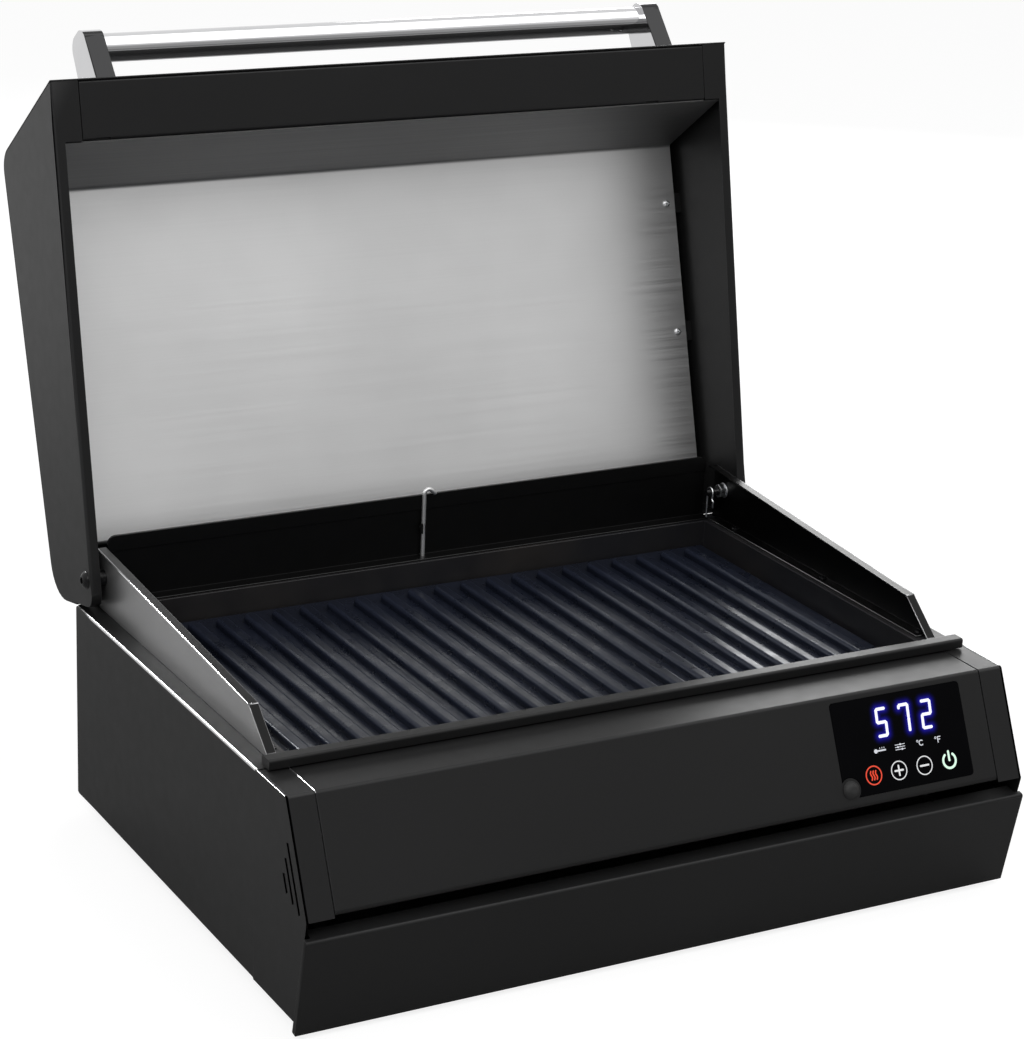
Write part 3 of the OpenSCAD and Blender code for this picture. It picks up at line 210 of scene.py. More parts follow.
class Tree:
    """The node tree of a material or a world, with the steps that they share."""

    def __init__(self, owner):
        owner.use_nodes = True
        self.tree = owner.node_tree

    def node(self, kind, **values):
        made = self.tree.nodes.new(kind)
        for key, value in values.items():
            setattr(made, key, value)
        return made

    def feed(self, socket, value):
        """Links a socket to another one, or sets its value."""
        if isinstance(value, bpy.types.NodeSocket):
            self.tree.links.new(value, socket)
        else:
            socket.default_value = value

    def fed(self, kind, *values, **settings):
        """A new node with its first inputs fed in order."""
        made = self.node(kind, **settings)
        for socket, value in zip(made.inputs, values):
            self.feed(socket, value)
        return made

    def maths(self, operation, *values):
        return self.fed("ShaderNodeMath", *values, operation=operation).outputs[0]

    def axis(self, place, name):
        """One coordinate of a place."""
        return self.fed("ShaderNodeSeparateXYZ", place).outputs[name]

    def spread(self, value, low, high, start=0.3, end=0.7):
        """A value's range from start to end drawn out to low and high."""
        return self.fed("ShaderNodeMapRange", value, start, end, low, high).outputs[0]

    def slope(self, value, start, end):
        """0 below start and 1 above end, with a soft slope between."""
        return self.fed("ShaderNodeMapRange", value, start, end, interpolation_type="SMOOTHSTEP").outputs[0]

    def mix(self, factor, first, second):
        """Two colours mixed by a factor."""
        made = self.fed("ShaderNodeMix", factor, data_type="RGBA")
        self.feed(made.inputs[6], first)
        self.feed(made.inputs[7], second)
        return made.outputs[2]

    def show(self, output, factor, first, second):
        """Shows two shaders, mixed by a factor, at an output."""
        mixed = self.fed("ShaderNodeMixShader", factor, first.outputs[0], second.outputs[0])
        self.feed(self.tree.nodes[output].inputs["Surface"], mixed.outputs[0])


class Shade(Tree):
    """A finish on Object coordinates."""

    def __init__(self, name):
        self.material = bpy.data.materials.new(FINISH + name)
        super().__init__(self.material)
        self.shader = self.tree.nodes["Principled BSDF"]
        self.place = self.node("ShaderNodeTexCoord").outputs["Object"]

    def noise(self, scale, detail=2.0, stretch=None):
        """Noise of that many grains in a metre; stretch scales the three axes."""
        place = self.place
        if stretch:
            mapping = self.node("ShaderNodeMapping")
            mapping.inputs["Scale"].default_value = stretch
            self.feed(mapping.inputs["Vector"], place)
            place = mapping.outputs["Vector"]
        made = self.node("ShaderNodeTexNoise")
        self.feed(made.inputs["Vector"], place)
        made.inputs["Scale"].default_value = scale
        made.inputs["Detail"].default_value = detail
        return made.outputs[0]

    def cells(self, scale):
        """Cells of that many in a metre, with one random value each."""
        made = self.node("ShaderNodeTexVoronoi")
        self.feed(made.inputs["Vector"], self.place)
        made.inputs["Scale"].default_value = scale
        return made.outputs["Color"]

    def attribute(self, name):
        return self.node("ShaderNodeAttribute", attribute_name=name).outputs["Fac"]

    def bump(self, height, strength, depth):
        made = self.node("ShaderNodeBump")
        made.inputs["Strength"].default_value = strength
        made.inputs["Distance"].default_value = depth
        self.feed(made.inputs["Height"], height)
        self.feed(self.shader.inputs["Normal"], made.outputs["Normal"])

    def wear(self, **sockets):
        """Sets the shader's sockets, written with _ for a space."""
        for name, value in sockets.items():
            self.feed(self.shader.inputs[name.replace("_", " ")], value)
        return self.material


def tone(colour, times):
    """A colour made lighter or darker, with its alpha."""
    return (*(min(1.0, part * times) for part in colour), 1.0)


def powder_coat(name, colour, rough, worn_and_highlit, bare_metal_highlight=None, **sockets):
    """Powder-coated sheet: fine peel, uneven gloss, painted shade on marked faces, edges worn smooth and painted
    lighter as a highlight, and bare metal as a painted highlight where marked most.
    """
    shade = Shade(name)
    clouds = shade.spread(shade.noise(6.0, 3.0), 0.0, 1.0)
    coat = shade.mix(clouds, tone(colour, 0.9), tone(colour, 1.1))
    # Painted shade: marked faces get a near-black coat
    coat = shade.mix(shade.attribute(PAINTED_SHADE), coat, tone(colour, 0.02))
    wear_and_highlight = shade.attribute(EDGE_WEAR_AND_HIGHLIGHT)
    gloss = shade.spread(shade.noise(90.0, 4.0), rough - 0.015, rough + 0.02)
    polish = shade.maths("MULTIPLY_ADD", wear_and_highlight, -0.6 * rough, gloss)
    shade.bump(shade.noise(1100.0, 2.0), 0.10, 0.05 * MM)
    # Marked edges are painted lighter, partly wear and partly a painted highlight
    worn_and_highlit_coat = shade.mix(wear_and_highlight, coat, tone(worn_and_highlit, 1.0))
    # Bare metal where the mark is strongest is a painted highlight
    if bare_metal_highlight:
        metal = shade.spread(wear_and_highlight, 0.0, 0.95, 0.55, 0.95)
        worn_and_highlit_coat = shade.mix(metal, worn_and_highlit_coat, tone(bare_metal_highlight, 1.0))
        # Faces in full painted shade are black metal, which mirrors next to nothing
        full_painted_shade = shade.spread(shade.attribute(PAINTED_SHADE), 0.0, 1.0, 0.9, 1.0)
        worn_and_highlit_coat = shade.mix(full_painted_shade, worn_and_highlit_coat, tone(colour, 0.02))
        sockets["Metallic"] = shade.maths("MAXIMUM", metal, full_painted_shade)
    return shade.wear(Base_Color=worn_and_highlit_coat, Roughness=polish, **sockets)


def black_powder():
    settings = finish_of()
    # The lighter edge colour is partly wear and partly a painted highlight; the bare metal colour is a painted
    # highlight
    return powder_coat(
        "black_powder", settings.powder, settings.powder_rough, (0.03, 0.03, 0.031), (0.58, 0.58, 0.59),
        Specular_IOR_Level=0.22)


def grey_powder():
    # The pale edge colour of the guards' hems is a painted highlight, partly wear
    return powder_coat("grey_powder", finish_of().guard, 0.34, (0.70, 0.70, 0.71), Metallic=0.9)


def enamel():
    """Glossy plate enamel with pin-prick texture, a film of uneven gloss, and a painted sheen on the marked ridge
    crests.
    """
    shade = Shade("enamel")
    colour = finish_of().enamel
    clouds = shade.spread(shade.noise(14.0, 4.0), 0.0, 1.0)
    coat = shade.mix(clouds, tone(colour, 0.75), tone(colour, 1.35))
    # Painted sheen: marked crests of the ridges are painted lighter
    wear_and_highlight = shade.spread(shade.attribute(EDGE_WEAR_AND_HIGHLIGHT), 0.0, 0.5, 0.0, 1.0)
    shade.bump(shade.noise(300.0, 4.0), 0.26, 0.14 * MM)
    return shade.wear(
        Base_Color=shade.mix(wear_and_highlight, coat, tone(colour, 2.2)),
        Roughness=shade.spread(shade.noise(70.0, 6.0), 0.22, 0.44),
        Specular_IOR_Level=0.22,
        Specular_Tint=(0.78, 0.88, 1.0, 1.0),
        Coat_Weight=0.10,
        Coat_Roughness=0.16,
    )


def mottled(name, patches, colours, gloss, rough, grain=None, **sockets):
    """Two colours in patches of noise, with uneven gloss and, if given, a grain that stands out."""
    shade = Shade(name)
    spots, limits = patches
    pattern = shade.noise(*spots)
    if limits:
        pattern = shade.spread(pattern, 0.0, 1.0, *limits)
    if grain:
        texture, strength, depth = grain
        shade.bump(shade.noise(*texture), strength, depth)
    return shade.wear(
        Base_Color=shade.mix(pattern, *(tone(colour, 1.0) for colour in colours)),
        Roughness=shade.spread(shade.noise(*gloss), *rough),
        **sockets)


def dark_steel():
    """Heat-darkened steel of the chamber, with faint brown patches."""
    return mottled(
        "dark_steel", ((9.0, 5.0), (0.4, 0.75)), ((0.012, 0.012, 0.014), (0.024, 0.021, 0.019)),
        (35.0, 4.0), (0.34, 0.48), ((800.0, 2.0), 0.12, 0.05 * MM), Specular_IOR_Level=0.35)


def brushed(name, colour, rough, stretch, contrast):
    """Steel brushed in one direction, with soft clouds from the polishing belt, and painted shade on marked faces.
    """
    shade = Shade(name)
    lines = shade.noise(1.0, 6.0, stretch)
    clouds = shade.spread(shade.noise(5.5, 3.0), 0.0, 1.0)
    shade.bump(lines, 0.08, 0.03 * MM)
    metal = shade.mix(clouds, tone(colour, 1.0 - contrast), tone(colour, 1.0 + contrast))
    return shade.wear(
        # Painted shade darkens marked faces
        Base_Color=shade.mix(shade.attribute(PAINTED_SHADE), metal, tone(colour, 0.08)),
        Roughness=shade.spread(lines, rough - 0.07, rough + 0.07),
        Metallic=1.0,
    )


def brushed_liner():
    return brushed("brushed_liner", finish_of().liner, 0.47, (5.0, 900.0, 900.0), 0.08)


def sheet_steel():
    return brushed("sheet_steel", (0.50, 0.51, 0.52), 0.34, (8.0, 500.0, 500.0), 0.06)


def zinc():
    """Bright zinc plate with a fine crystal spangle."""
    shade = Shade("zinc")
    grain = shade.cells(900.0)
    return shade.wear(
        Base_Color=shade.mix(grain, (0.72, 0.73, 0.74, 1.0), (0.88, 0.89, 0.90, 1.0)),
        Roughness=shade.spread(shade.noise(260.0, 3.0), 0.26, 0.38),
        Metallic=1.0,
    )


def polished_chrome():
    """Mirror chrome with a thin film of smudges, and painted shade on marked faces."""
    shade = Shade("polished_chrome")
    colour = finish_of().chrome
    smudges = shade.spread(shade.noise(22.0, 5.0), 0.0, 1.0, 0.45, 0.8)
    metal = shade.mix(smudges, tone(colour, 1.0), tone(colour, 0.94))
    return shade.wear(
        # Painted shade turns marked faces near black
        Base_Color=shade.mix(shade.attribute(PAINTED_SHADE), metal, tone(colour, 0.055)),
        Roughness=shade.spread(shade.noise(22.0, 5.0), 0.06, 0.14, 0.45, 0.8),
        Metallic=1.0,
    )


def black_oxide():
    """Blackened steel of the hinge bolts."""
    grain = (600.0, 3.0)
    return mottled(
        "black_oxide", (grain, None), ((0.003, 0.003, 0.0035), (0.007, 0.007, 0.0075)),
        grain, (0.20, 0.30), (grain, 0.1, 0.03 * MM), Specular_IOR_Level=0.22)


def soft_black(name, colour, rough, scale, depth):
    """Moulded rubber or plastic with an even grain."""
    grain = (scale, 3.0)
    colours = tone(colour, 0.8)[:3], tone(colour, 1.25)[:3]
    return mottled(
        name, ((40.0, 3.0), None), colours, grain, (rough - 0.08, rough + 0.08), (grain, 0.3, depth),
        Specular_IOR_Level=0.35)


def black_rubber():
    return soft_black("black_rubber", (0.016, 0.016, 0.016), 0.62, 700.0, 0.12 * MM)


def black_plastic():
    return soft_black("black_plastic", (0.013, 0.013, 0.014), 0.48, 1300.0, 0.05 * MM)


def black_glass(name="black_glass"):
    """Back-printed black glass: near-mirror gloss with a trace of finger film, and the digits' halo."""
    shade = Shade(name)
    film = shade.noise(45.0, 4.0)
    halo = finish_of().halo
    shade.wear(
        Base_Color=shade.mix(film, (0.0012, 0.0012, 0.0016, 1.0), (0.002, 0.002, 0.0026, 1.0)),
        Roughness=shade.spread(film, 0.07, 0.14),
        Specular_IOR_Level=0.03,
    )
    light = shade.mix(shade.attribute(GLOW), (0.0, 0.0, 0.0, 1.0), tone(halo, 1.0))
    return shade.wear(Emission_Color=light, Emission_Strength=1.0)


def circuit_board():
    """Green solder mask over a net of paler copper tracks."""
    shade = Shade("circuit_board")
    tracks = shade.node("ShaderNodeTexBrick", offset=0.35)
    shade.feed(tracks.inputs["Vector"], shade.place)
    tracks.inputs["Scale"].default_value = 90.0
    tracks.inputs["Mortar Size"].default_value = 0.03
    mask = shade.mix(tracks.outputs["Fac"], (0.012, 0.085, 0.030, 1.0), (0.030, 0.17, 0.06, 1.0))
    return shade.wear(
        Base_Color=mask,
        Roughness=shade.spread(shade.noise(80.0, 2.0), 0.28, 0.42),
    )


def ceramic():
    """Unglazed off-white ceramic with fine specks."""
    return mottled(
        "ceramic", ((900.0, 4.0), (0.55, 0.75)), ((0.66, 0.62, 0.53), (0.45, 0.40, 0.32)),
        (60.0, 2.0), (0.60, 0.75), ((500.0, 3.0), 0.2, 0.08 * MM))


def brass():
    return brushed("brass", (0.60, 0.43, 0.15), 0.26, (300.0, 300.0, 20.0), 0.08)


def lit_print(name, colour, strength):
    """A print that shines through the glass, a little uneven as a diode's light is."""
    shade = Shade(name)
    patches = shade.noise(300.0, 2.0)
    light = shade.mix(patches, tone(colour, 0.93), tone(colour, 1.0))
    return shade.wear(
        Base_Color=shade.mix(patches, tone(colour, 0.10), tone(colour, 0.14)),
        Roughness=0.35,
        Emission_Color=light,
        Emission_Strength=strength,
    )


FINISHES = {
    made.__name__: made for made in (
        black_powder, grey_powder, enamel, dark_steel, sheet_steel, brushed_liner, zinc, polished_chrome,
        black_oxide, black_rubber, black_glass, black_plastic, circuit_board, ceramic, brass,
    )
}
# Small parts that show darker or brighter than the rest of their slot
SLOT.update(
    hinge_spacers="black_oxide", guard_screws="black_oxide",
    probe_clip="black_powder", temperature_probe="brushed_liner")


def finish(slot):
    """The material of a slot, made once."""
    return bpy.data.materials.get(FINISH + slot) or FINISHES[slot]()


def welded(node):
    """A bmesh of a CAD node with its points merged."""
    bm = bmesh.new()
    bm.from_mesh(NODES[node].data)
    bmesh.ops.remove_doubles(bm, verts=bm.verts, dist=MERGE)
    return bm


def merged_copy(node):
    """A bmesh of a CAD node with its triangles joined into flat faces."""
    bm = welded(node)
    bmesh.ops.dissolve_limit(
        bm, angle_limit=math.radians(0.5), use_dissolve_boundaries=False, verts=bm.verts, edges=bm.edges)
    return bm


def verts_in(parts):
    return [part for part in parts if isinstance(part, bmesh.types.BMVert)]


def edges_in(parts):
    return [part for part in parts if isinstance(part, bmesh.types.BMEdge)]


def half_width(bm):
    """How far a shape reaches to the left or right."""
    return max(abs(vert.co.x) for vert in bm.verts)


def wear_and_highlight_layer(bm):
    layers = bm.verts.layers.float
    return layers.get(EDGE_WEAR_AND_HIGHLIGHT) or layers.new(EDGE_WEAR_AND_HIGHLIGHT)


class PaintedShade:
    """Painted shade on a piece: darker on faces turned further from its unshaded side, and darkest on its tip."""

    def __init__(self, unshaded_side, start, end, share=1.0, tip=None):
        self.unshaded_side = Vector(unshaded_side)
        self.start = math.radians(start)
        self.end = math.radians(end)
        self.share = share
        self.tip = Vector(tip) if tip else None

    def mark(self, bm):
        layer = bm.faces.layers.float.new(PAINTED_SHADE)
        for face in bm.faces:
            turned_away = (face.normal.angle(self.unshaded_side, 0.0) - self.start) / (self.end - self.start)
            face[layer] = self.share * min(1.0, max(0.0, turned_away))
        if self.tip:
            reach = max(vert.co.dot(self.tip) for vert in bm.verts) - END_DEPTH
            for face in bm.faces:
                if face.calc_center_median().dot(self.tip) > reach:
                    face[layer] = 1.0


def round_edges(bm, edges, width, segments=2):
    """Bevels edges, and marks the middle of each bevel as worn and painted lighter as a highlight."""
    made = bmesh.ops.bevel(
        bm, geom=edges, offset=width, offset_type="OFFSET", affect="EDGES", segments=segments,
        profile=0.5, material=-1, clamp_overlap=False)
    wear_and_highlight = wear_and_highlight_layer(bm)
    fresh = set(made["faces"])
    for vert in {vert for face in fresh for vert in face.verts}:
        if all(face in fresh for face in vert.link_faces):
            vert[wear_and_highlight] = 1.0


def breadth(face):
    """Width of a face across its longest edge."""
    return face.calc_area() / max(edge.calc_length() for edge in face.edges)


def mark_bends(bm):
    """Marks the narrow strips of the sheet's bends as partly worn and painted lighter as a highlight."""
    wear_and_highlight = wear_and_highlight_layer(bm)
    for edge in bm.edges:
        if len(edge.link_faces) != 2 or edge.calc_length() < BEND_LENGTH:
            continue
        if BEND_TURN < edge.calc_face_angle() < SHARP:
            if all(breadth(face) < BEND_STRIP for face in edge.link_faces):
                for vert in edge.verts:
                    vert[wear_and_highlight] = max(vert[wear_and_highlight], BEND_WEAR_AND_HIGHLIGHT)


def settle_wear_and_highlight(bm, share, depth=0.0, beyond=0.0):
    """Scales the edge wear and painted highlight by a share, but not at the top, and takes them off wide faces,
    where they would spread.

    The top goes down by depth, and lies further than beyond to the left or right.
    """
    wear_and_highlight = wear_and_highlight_layer(bm)
    bright = max(vert.co.z for vert in bm.verts) - depth
    for vert in bm.verts:
        if any(breadth(face) > WIDE_FACE for face in vert.link_faces):
            vert[wear_and_highlight] = 0.0
        elif vert.co.z <= bright or abs(vert.co.x) <= beyond:
            vert[wear_and_highlight] *= share


def sharp_edges(bm, shortest, narrowest):
    """The edges that a bevel can take: sharp, long enough, and between faces that are wide enough."""
    return [
        edge for edge in bm.edges
        if len(edge.link_faces) == 2 and edge.calc_face_angle() > SHARP and edge.calc_length() > shortest
        and all(breadth(face) > narrowest for face in edge.link_faces)
    ]


def cut_edges(bm, edges, cuts):
    """Cuts edges into lengths."""
    parts = bmesh.ops.bisect_edges(bm, edges=edges, cuts=cuts)["geom_split"]
    return list({*edges, *edges_in(parts)})


def roomy(bm, edges, room):
    """The edges that no other outer edge runs beside within a distance."""
    outer = [edge for edge in sharp_edges(bm, 0.0, 0.0) if edge.is_convex]
    lines = np.array([[vert.co for vert in edge.verts] for edge in outer])
    starts, runs = lines[:, 0], lines[:, 1] - lines[:, 0]
    lengths = np.linalg.norm(runs, axis=1)
    ways = runs / lengths[:, None]
    found = []
    for edge in edges:
        first, last = (np.array(vert.co) for vert in edge.verts)
        beside = np.abs(ways @ (last - first)) > 0.98 * edge.calc_length()
        offset = (first + last) / 2 - starts
        along = np.clip((offset * ways).sum(axis=1), 0.0, lengths)
        gaps = np.linalg.norm(offset - along[:, None] * ways, axis=1)
        if not np.any(beside & (gaps > 0.05 * MM) & (gaps < room)):
            found.append(edge)
    return found


def add_piece(bm, name, material, body, slot, replaced=()):
    """Makes a bmesh a piece that rides on a body, and frees it."""
    mesh = bpy.data.meshes.new(name)
    bm.to_mesh(mesh)
    bm.free()
    mesh.materials.append(material)
    mesh.shade_smooth()
    mesh.set_sharp_from_angle(angle=math.radians(35.0))
    piece = bpy.data.objects.new(name, mesh)
    bpy.context.scene.collection.objects.link(piece)
    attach(piece, body)
    if replaced:
        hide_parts(*replaced)
    return piece


def stand_in(bm, name, node):
    """Makes a bmesh the piece that stands for a CAD node."""
    return add_piece(bm, name, finish(SLOT[node]), BODY[node], SLOT[node], [node])


def even_stand_in(bm, name, node):
    """A piece that stands for a CAD node, with flat faces kept flat between their rounded edges."""
    normals = stand_in(bm, name, node).modifiers.new("Even normals", "WEIGHTED_NORMAL")
    normals.keep_sharp = True


def end_edges(bm, outside):
    """The edges round the left and right ends of a sheet, on the side that looks outside."""
    reach = half_width(bm) - SLACK
    return [
        edge for edge in bm.edges
        if all(abs(vert.co.x) > reach for vert in edge.verts)
        and any(face.normal.dot(Vector(outside)) > 0.3 for face in edge.link_faces)
    ]


def round_rim(bm, width):
    """Rounds the top edge of an upright sheet in front of its ledge, and marks it fully, which paints it as bare
    metal for a highlight.
    """
    top = max(vert.co.z for vert in bm.verts) - SLACK
    past_sheet, before_fold, near = 2.0 * MM, 3.0 * MM, 0.1 * MM
    inside = half_width(bm) - past_sheet
    front = min(vert.co.y for vert in bm.verts if vert.co.z > top and abs(vert.co.x) < inside)
    for place in (front, front + before_fold):
        bmesh.ops.bisect_plane(
            bm, geom=bm.verts[:] + bm.edges[:] + bm.faces[:], dist=SLACK,
            plane_co=(0.0, place, 0.0), plane_no=(0.0, 1.0, 0.0))
    rim = [
        edge for edge in sharp_edges(bm, FOLD_LENGTH, 0.0)
        if all(vert.co.z > top and vert.co.y < front + near for vert in edge.verts)
    ]
    round_edges(bm, cut_edges(bm, rim, 9), width, 4)
    # The top in front of the ledge gets the full mark, painted as bare metal for a highlight
    wear_and_highlight = wear_and_highlight_layer(bm)
    for vert in bm.verts:
        if vert.co.z > top and vert.co.y < front - near:
            vert[wear_and_highlight] = 1.0


def round_folds(bm, width):
    """Rounds the outer edges between wide faces."""
    folds = [edge for edge in sharp_edges(bm, FOLD_LENGTH, 3.0 * width) if edge.is_convex]
    round_edges(bm, roomy(bm, cut_edges(bm, folds, FOLD_CUTS), TWO_EDGES * width), width, 4)


def round_ends(bm, outside):
    """Rolls the left and right ends of a sheet."""
    cut_edges(bm, [edge for edge in end_edges(bm, outside) if edge.calc_length() > ROLLED_LENGTH], 7)
    round_edges(bm, end_edges(bm, outside), ROLLED_END, 3)


def rounded_piece(
        node, width, segments=2, shortest=1.5 * MM, fold=0.0, rim=0.0, ends=None, painted_shade_marks=None, worn_and_highlit=0.5,
        full_highlight_depth=0.0):
    """A copy of a CAD node with rounded edges, which stands for the node.

    Folds, a rim painted as bare metal for a highlight, and rolled ends are rounded first, each by its own width.
    """
    bm = merged_copy(node)
    mark_bends(bm)
    if rim:
        round_rim(bm, rim)
    if fold:
        round_folds(bm, fold)
    if ends:
        round_ends(bm, ends)
    round_edges(bm, sharp_edges(bm, shortest, TWO_EDGES * width), width, segments)
    settle_wear_and_highlight(bm, worn_and_highlit, full_highlight_depth, half_width(bm) - END_DEPTH if ends else 0.0)
    if painted_shade_marks:
        painted_shade_marks.mark(bm)
    even_stand_in(bm, node + "_rounded", node)


def closed(bm):
    """Merges doubles and turns the faces of a spun or bridged shape outwards."""
    bmesh.ops.remove_doubles(bm, verts=bm.verts, dist=0.0005 * MM)
    bmesh.ops.recalc_face_normals(bm, faces=bm.faces)
    return bm


def rim_of(bm):
    """The open edges of a shape."""
    return [edge for edge in bm.edges if edge.is_boundary]


def drawn_out(bm):
    """Extrudes the open edges of a shape, and gives the new points."""
    return verts_in(bmesh.ops.extrude_edge_only(bm, edges=rim_of(bm))["geom"])


def filled(bm):
    """Fills the opening of a shape."""
    bmesh.ops.holes_fill(bm, edges=rim_of(bm), sides=0)
    return closed(bm)


def line_of(bm, points):
    """Edges that join points in order."""
    verts = [bm.verts.new(point) for point in points]
    return verts, [bm.edges.new(pair) for pair in zip(verts, verts[1:])]


def turned(profile, steps):
    """A bmesh of a profile of (radius, height) points, turned round the vertical through the origin."""
    bm = bmesh.new()
    verts, edges = line_of(bm, [(radius, 0.0, height) for radius, height in profile])
    bmesh.ops.spin(
        bm, geom=verts + edges, cent=(0.0, 0.0, 0.0), axis=UP, angle=math.tau, steps=steps, use_merge=True)
    return closed(bm)


def arc(centre, radius, start, end, steps):
    """Points of (radius, height) on an arc, from one angle to another."""
    turns = (start + (end - start) * i / steps for i in range(steps + 1))
    return [(centre[0] + radius * math.cos(a), centre[1] + radius * math.sin(a)) for a in turns]


def dome(radius, height, steps, inner=0.0, share=1.0):
    """Profile of a ball's cap, from an inner radius to a share of the way to its edge."""
    ball = (radius * radius + height * height) / (2.0 * height)
    edge = share * math.asin(min(1.0, radius / ball))
    return arc((0.0, height - ball), ball, math.pi / 2 - math.asin(inner / ball), math.pi / 2 - edge, steps)


def islands(node):
    """The separate solids of a CAD node, each as its points."""
    bm = welded(node)
    left = set(bm.verts)
    while left:
        found = [left.pop()]
        for vert in found:
            near = {edge.other_vert(vert) for edge in vert.link_edges} & left
            left -= near
            found += near
        yield np.array([vert.co for vert in found])
    bm.free()


class Fastener:
    """Place, axis and size of a round-headed fastener, read from its points."""

    def __init__(self, points):
        middle = points.mean(0)
        spans, axes = np.linalg.svd(points - middle, full_matrices=False)[1:]
        axis = axes[0] if spans[0] - spans[1] > spans[1] - spans[2] else axes[2]
        along = (points - middle) @ axis
        radii = np.linalg.norm(points - middle - np.outer(along, axis), axis=1)
        rim = along[radii > 0.97 * radii.max()].mean()
        if rim < (along.min() + along.max()) / 2:
            axis, along, rim = -axis, -along, -rim
        self.radius = float(radii.max())
        self.height = float(along.max() - rim)
        self.shank = float(rim - along.min())
        self.axis = Vector(axis)
        self.seat = Vector(middle + rim * axis)

    def matrix(self):
        return Matrix.Translation(self.seat) @ self.axis.to_track_quat("Z", "Y").to_matrix().to_4x4()


def fasteners(node):
    return [Fastener(points) for points in islands(node)]


def stamp(bm, shape, matrix):
    """Adds a finished bmesh shape to another, moved by a matrix."""
    mesh = bpy.data.meshes.new("stamp")
    shape.to_mesh(mesh)
    start = len(bm.verts)
    bm.from_mesh(mesh)
    bpy.data.meshes.remove(mesh)
    bm.verts.ensure_lookup_table()
    bmesh.ops.transform(bm, matrix=matrix, verts=bm.verts[start:])


def cross_head(place):
    """A pan-head screw: a square grid pressed in at a cross, drawn to a disc and domed."""
    bm = bmesh.new()
    cells = 12
    arm, reach, depth, taper = 1.5 / cells, 0.62, 0.5, 0.8
    crown, shank = 0.45, 0.45
    bmesh.ops.create_grid(bm, x_segments=cells, y_segments=cells, size=1.0)
    cross = [
        face for face in bm.faces
        for side, end in [sorted(abs(part) for part in face.calc_center_median().xy)]
        if side < arm and end < reach
    ]
    low = verts_in(bmesh.ops.extrude_face_region(bm, geom=cross)["geom"])
    bmesh.ops.delete(bm, geom=cross, context="FACES_ONLY")
    bmesh.ops.scale(bm, verts=low, vec=(taper, taper, 1.0))
    bmesh.ops.translate(bm, verts=low, vec=(0.0, 0.0, -depth))
    for vert in bm.verts:
        x, y, z = vert.co
        x, y = x * math.sqrt(1.0 - y * y / 2.0), y * math.sqrt(1.0 - x * x / 2.0)
        top = 1.0 - crown * (x * x + y * y)
        vert.co = (x * place.radius, y * place.radius, (top + z) * place.height)
    for vert in drawn_out(bm):
        vert.co.z = 0.0
    for vert in drawn_out(bm):
        vert.co.xy = vert.co.xy.normalized() * place.radius * shank
    bmesh.ops.translate(bm, verts=drawn_out(bm), vec=(0.0, 0.0, -place.shank))
    return filled(bm)


def domed_rivet(place):
    """A snap-head rivet."""
    shank = place.radius * 0.5
    crown = dome(place.radius, place.height, 8)
    return turned(crown + [(shank, 0.0), (shank, -place.shank), (0.0, -place.shank)], 24)


def socket_bolt(place):
    """A button-head bolt with a hexagon socket and a threaded shank."""
    socket = place.radius * 0.42
    shank = place.radius * 0.44
    plain = place.shank * 0.3
    pitch = sizes_of().thread_pitch
    profile = dome(place.radius, place.height, 8, socket * 1.12)
    profile += [(shank, 0.0), (shank, -plain)]
    for i in range(int(place.shank * 0.65 / pitch)):
        low = -plain - i * pitch
        profile += [(shank * 0.86, low - pitch * 0.5), (shank, low - pitch)]
    profile += [(shank * 0.8, -place.shank), (0.0, -place.shank)]
    bm = turned(profile, 48)
    for vert in drawn_out(bm):
        turn = math.atan2(vert.co.y, vert.co.x) % (math.pi / 3) - math.pi / 6
        vert.co.xy = vert.co.xy.normalized() * socket * math.cos(math.pi / 6) / math.cos(turn)
    bmesh.ops.translate(bm, verts=drawn_out(bm), vec=(0.0, 0.0, -place.height * 0.55))
    return filled(bm)


def fastener_piece(node, shape_of, name):
    """Stamps one shape on every fastener of a CAD node, which it stands for."""
    bm = bmesh.new()
    for place in fasteners(node):
        shape = shape_of(place)
        stamp(bm, shape, place.matrix())
        shape.free()
    stand_in(bm, name, node)


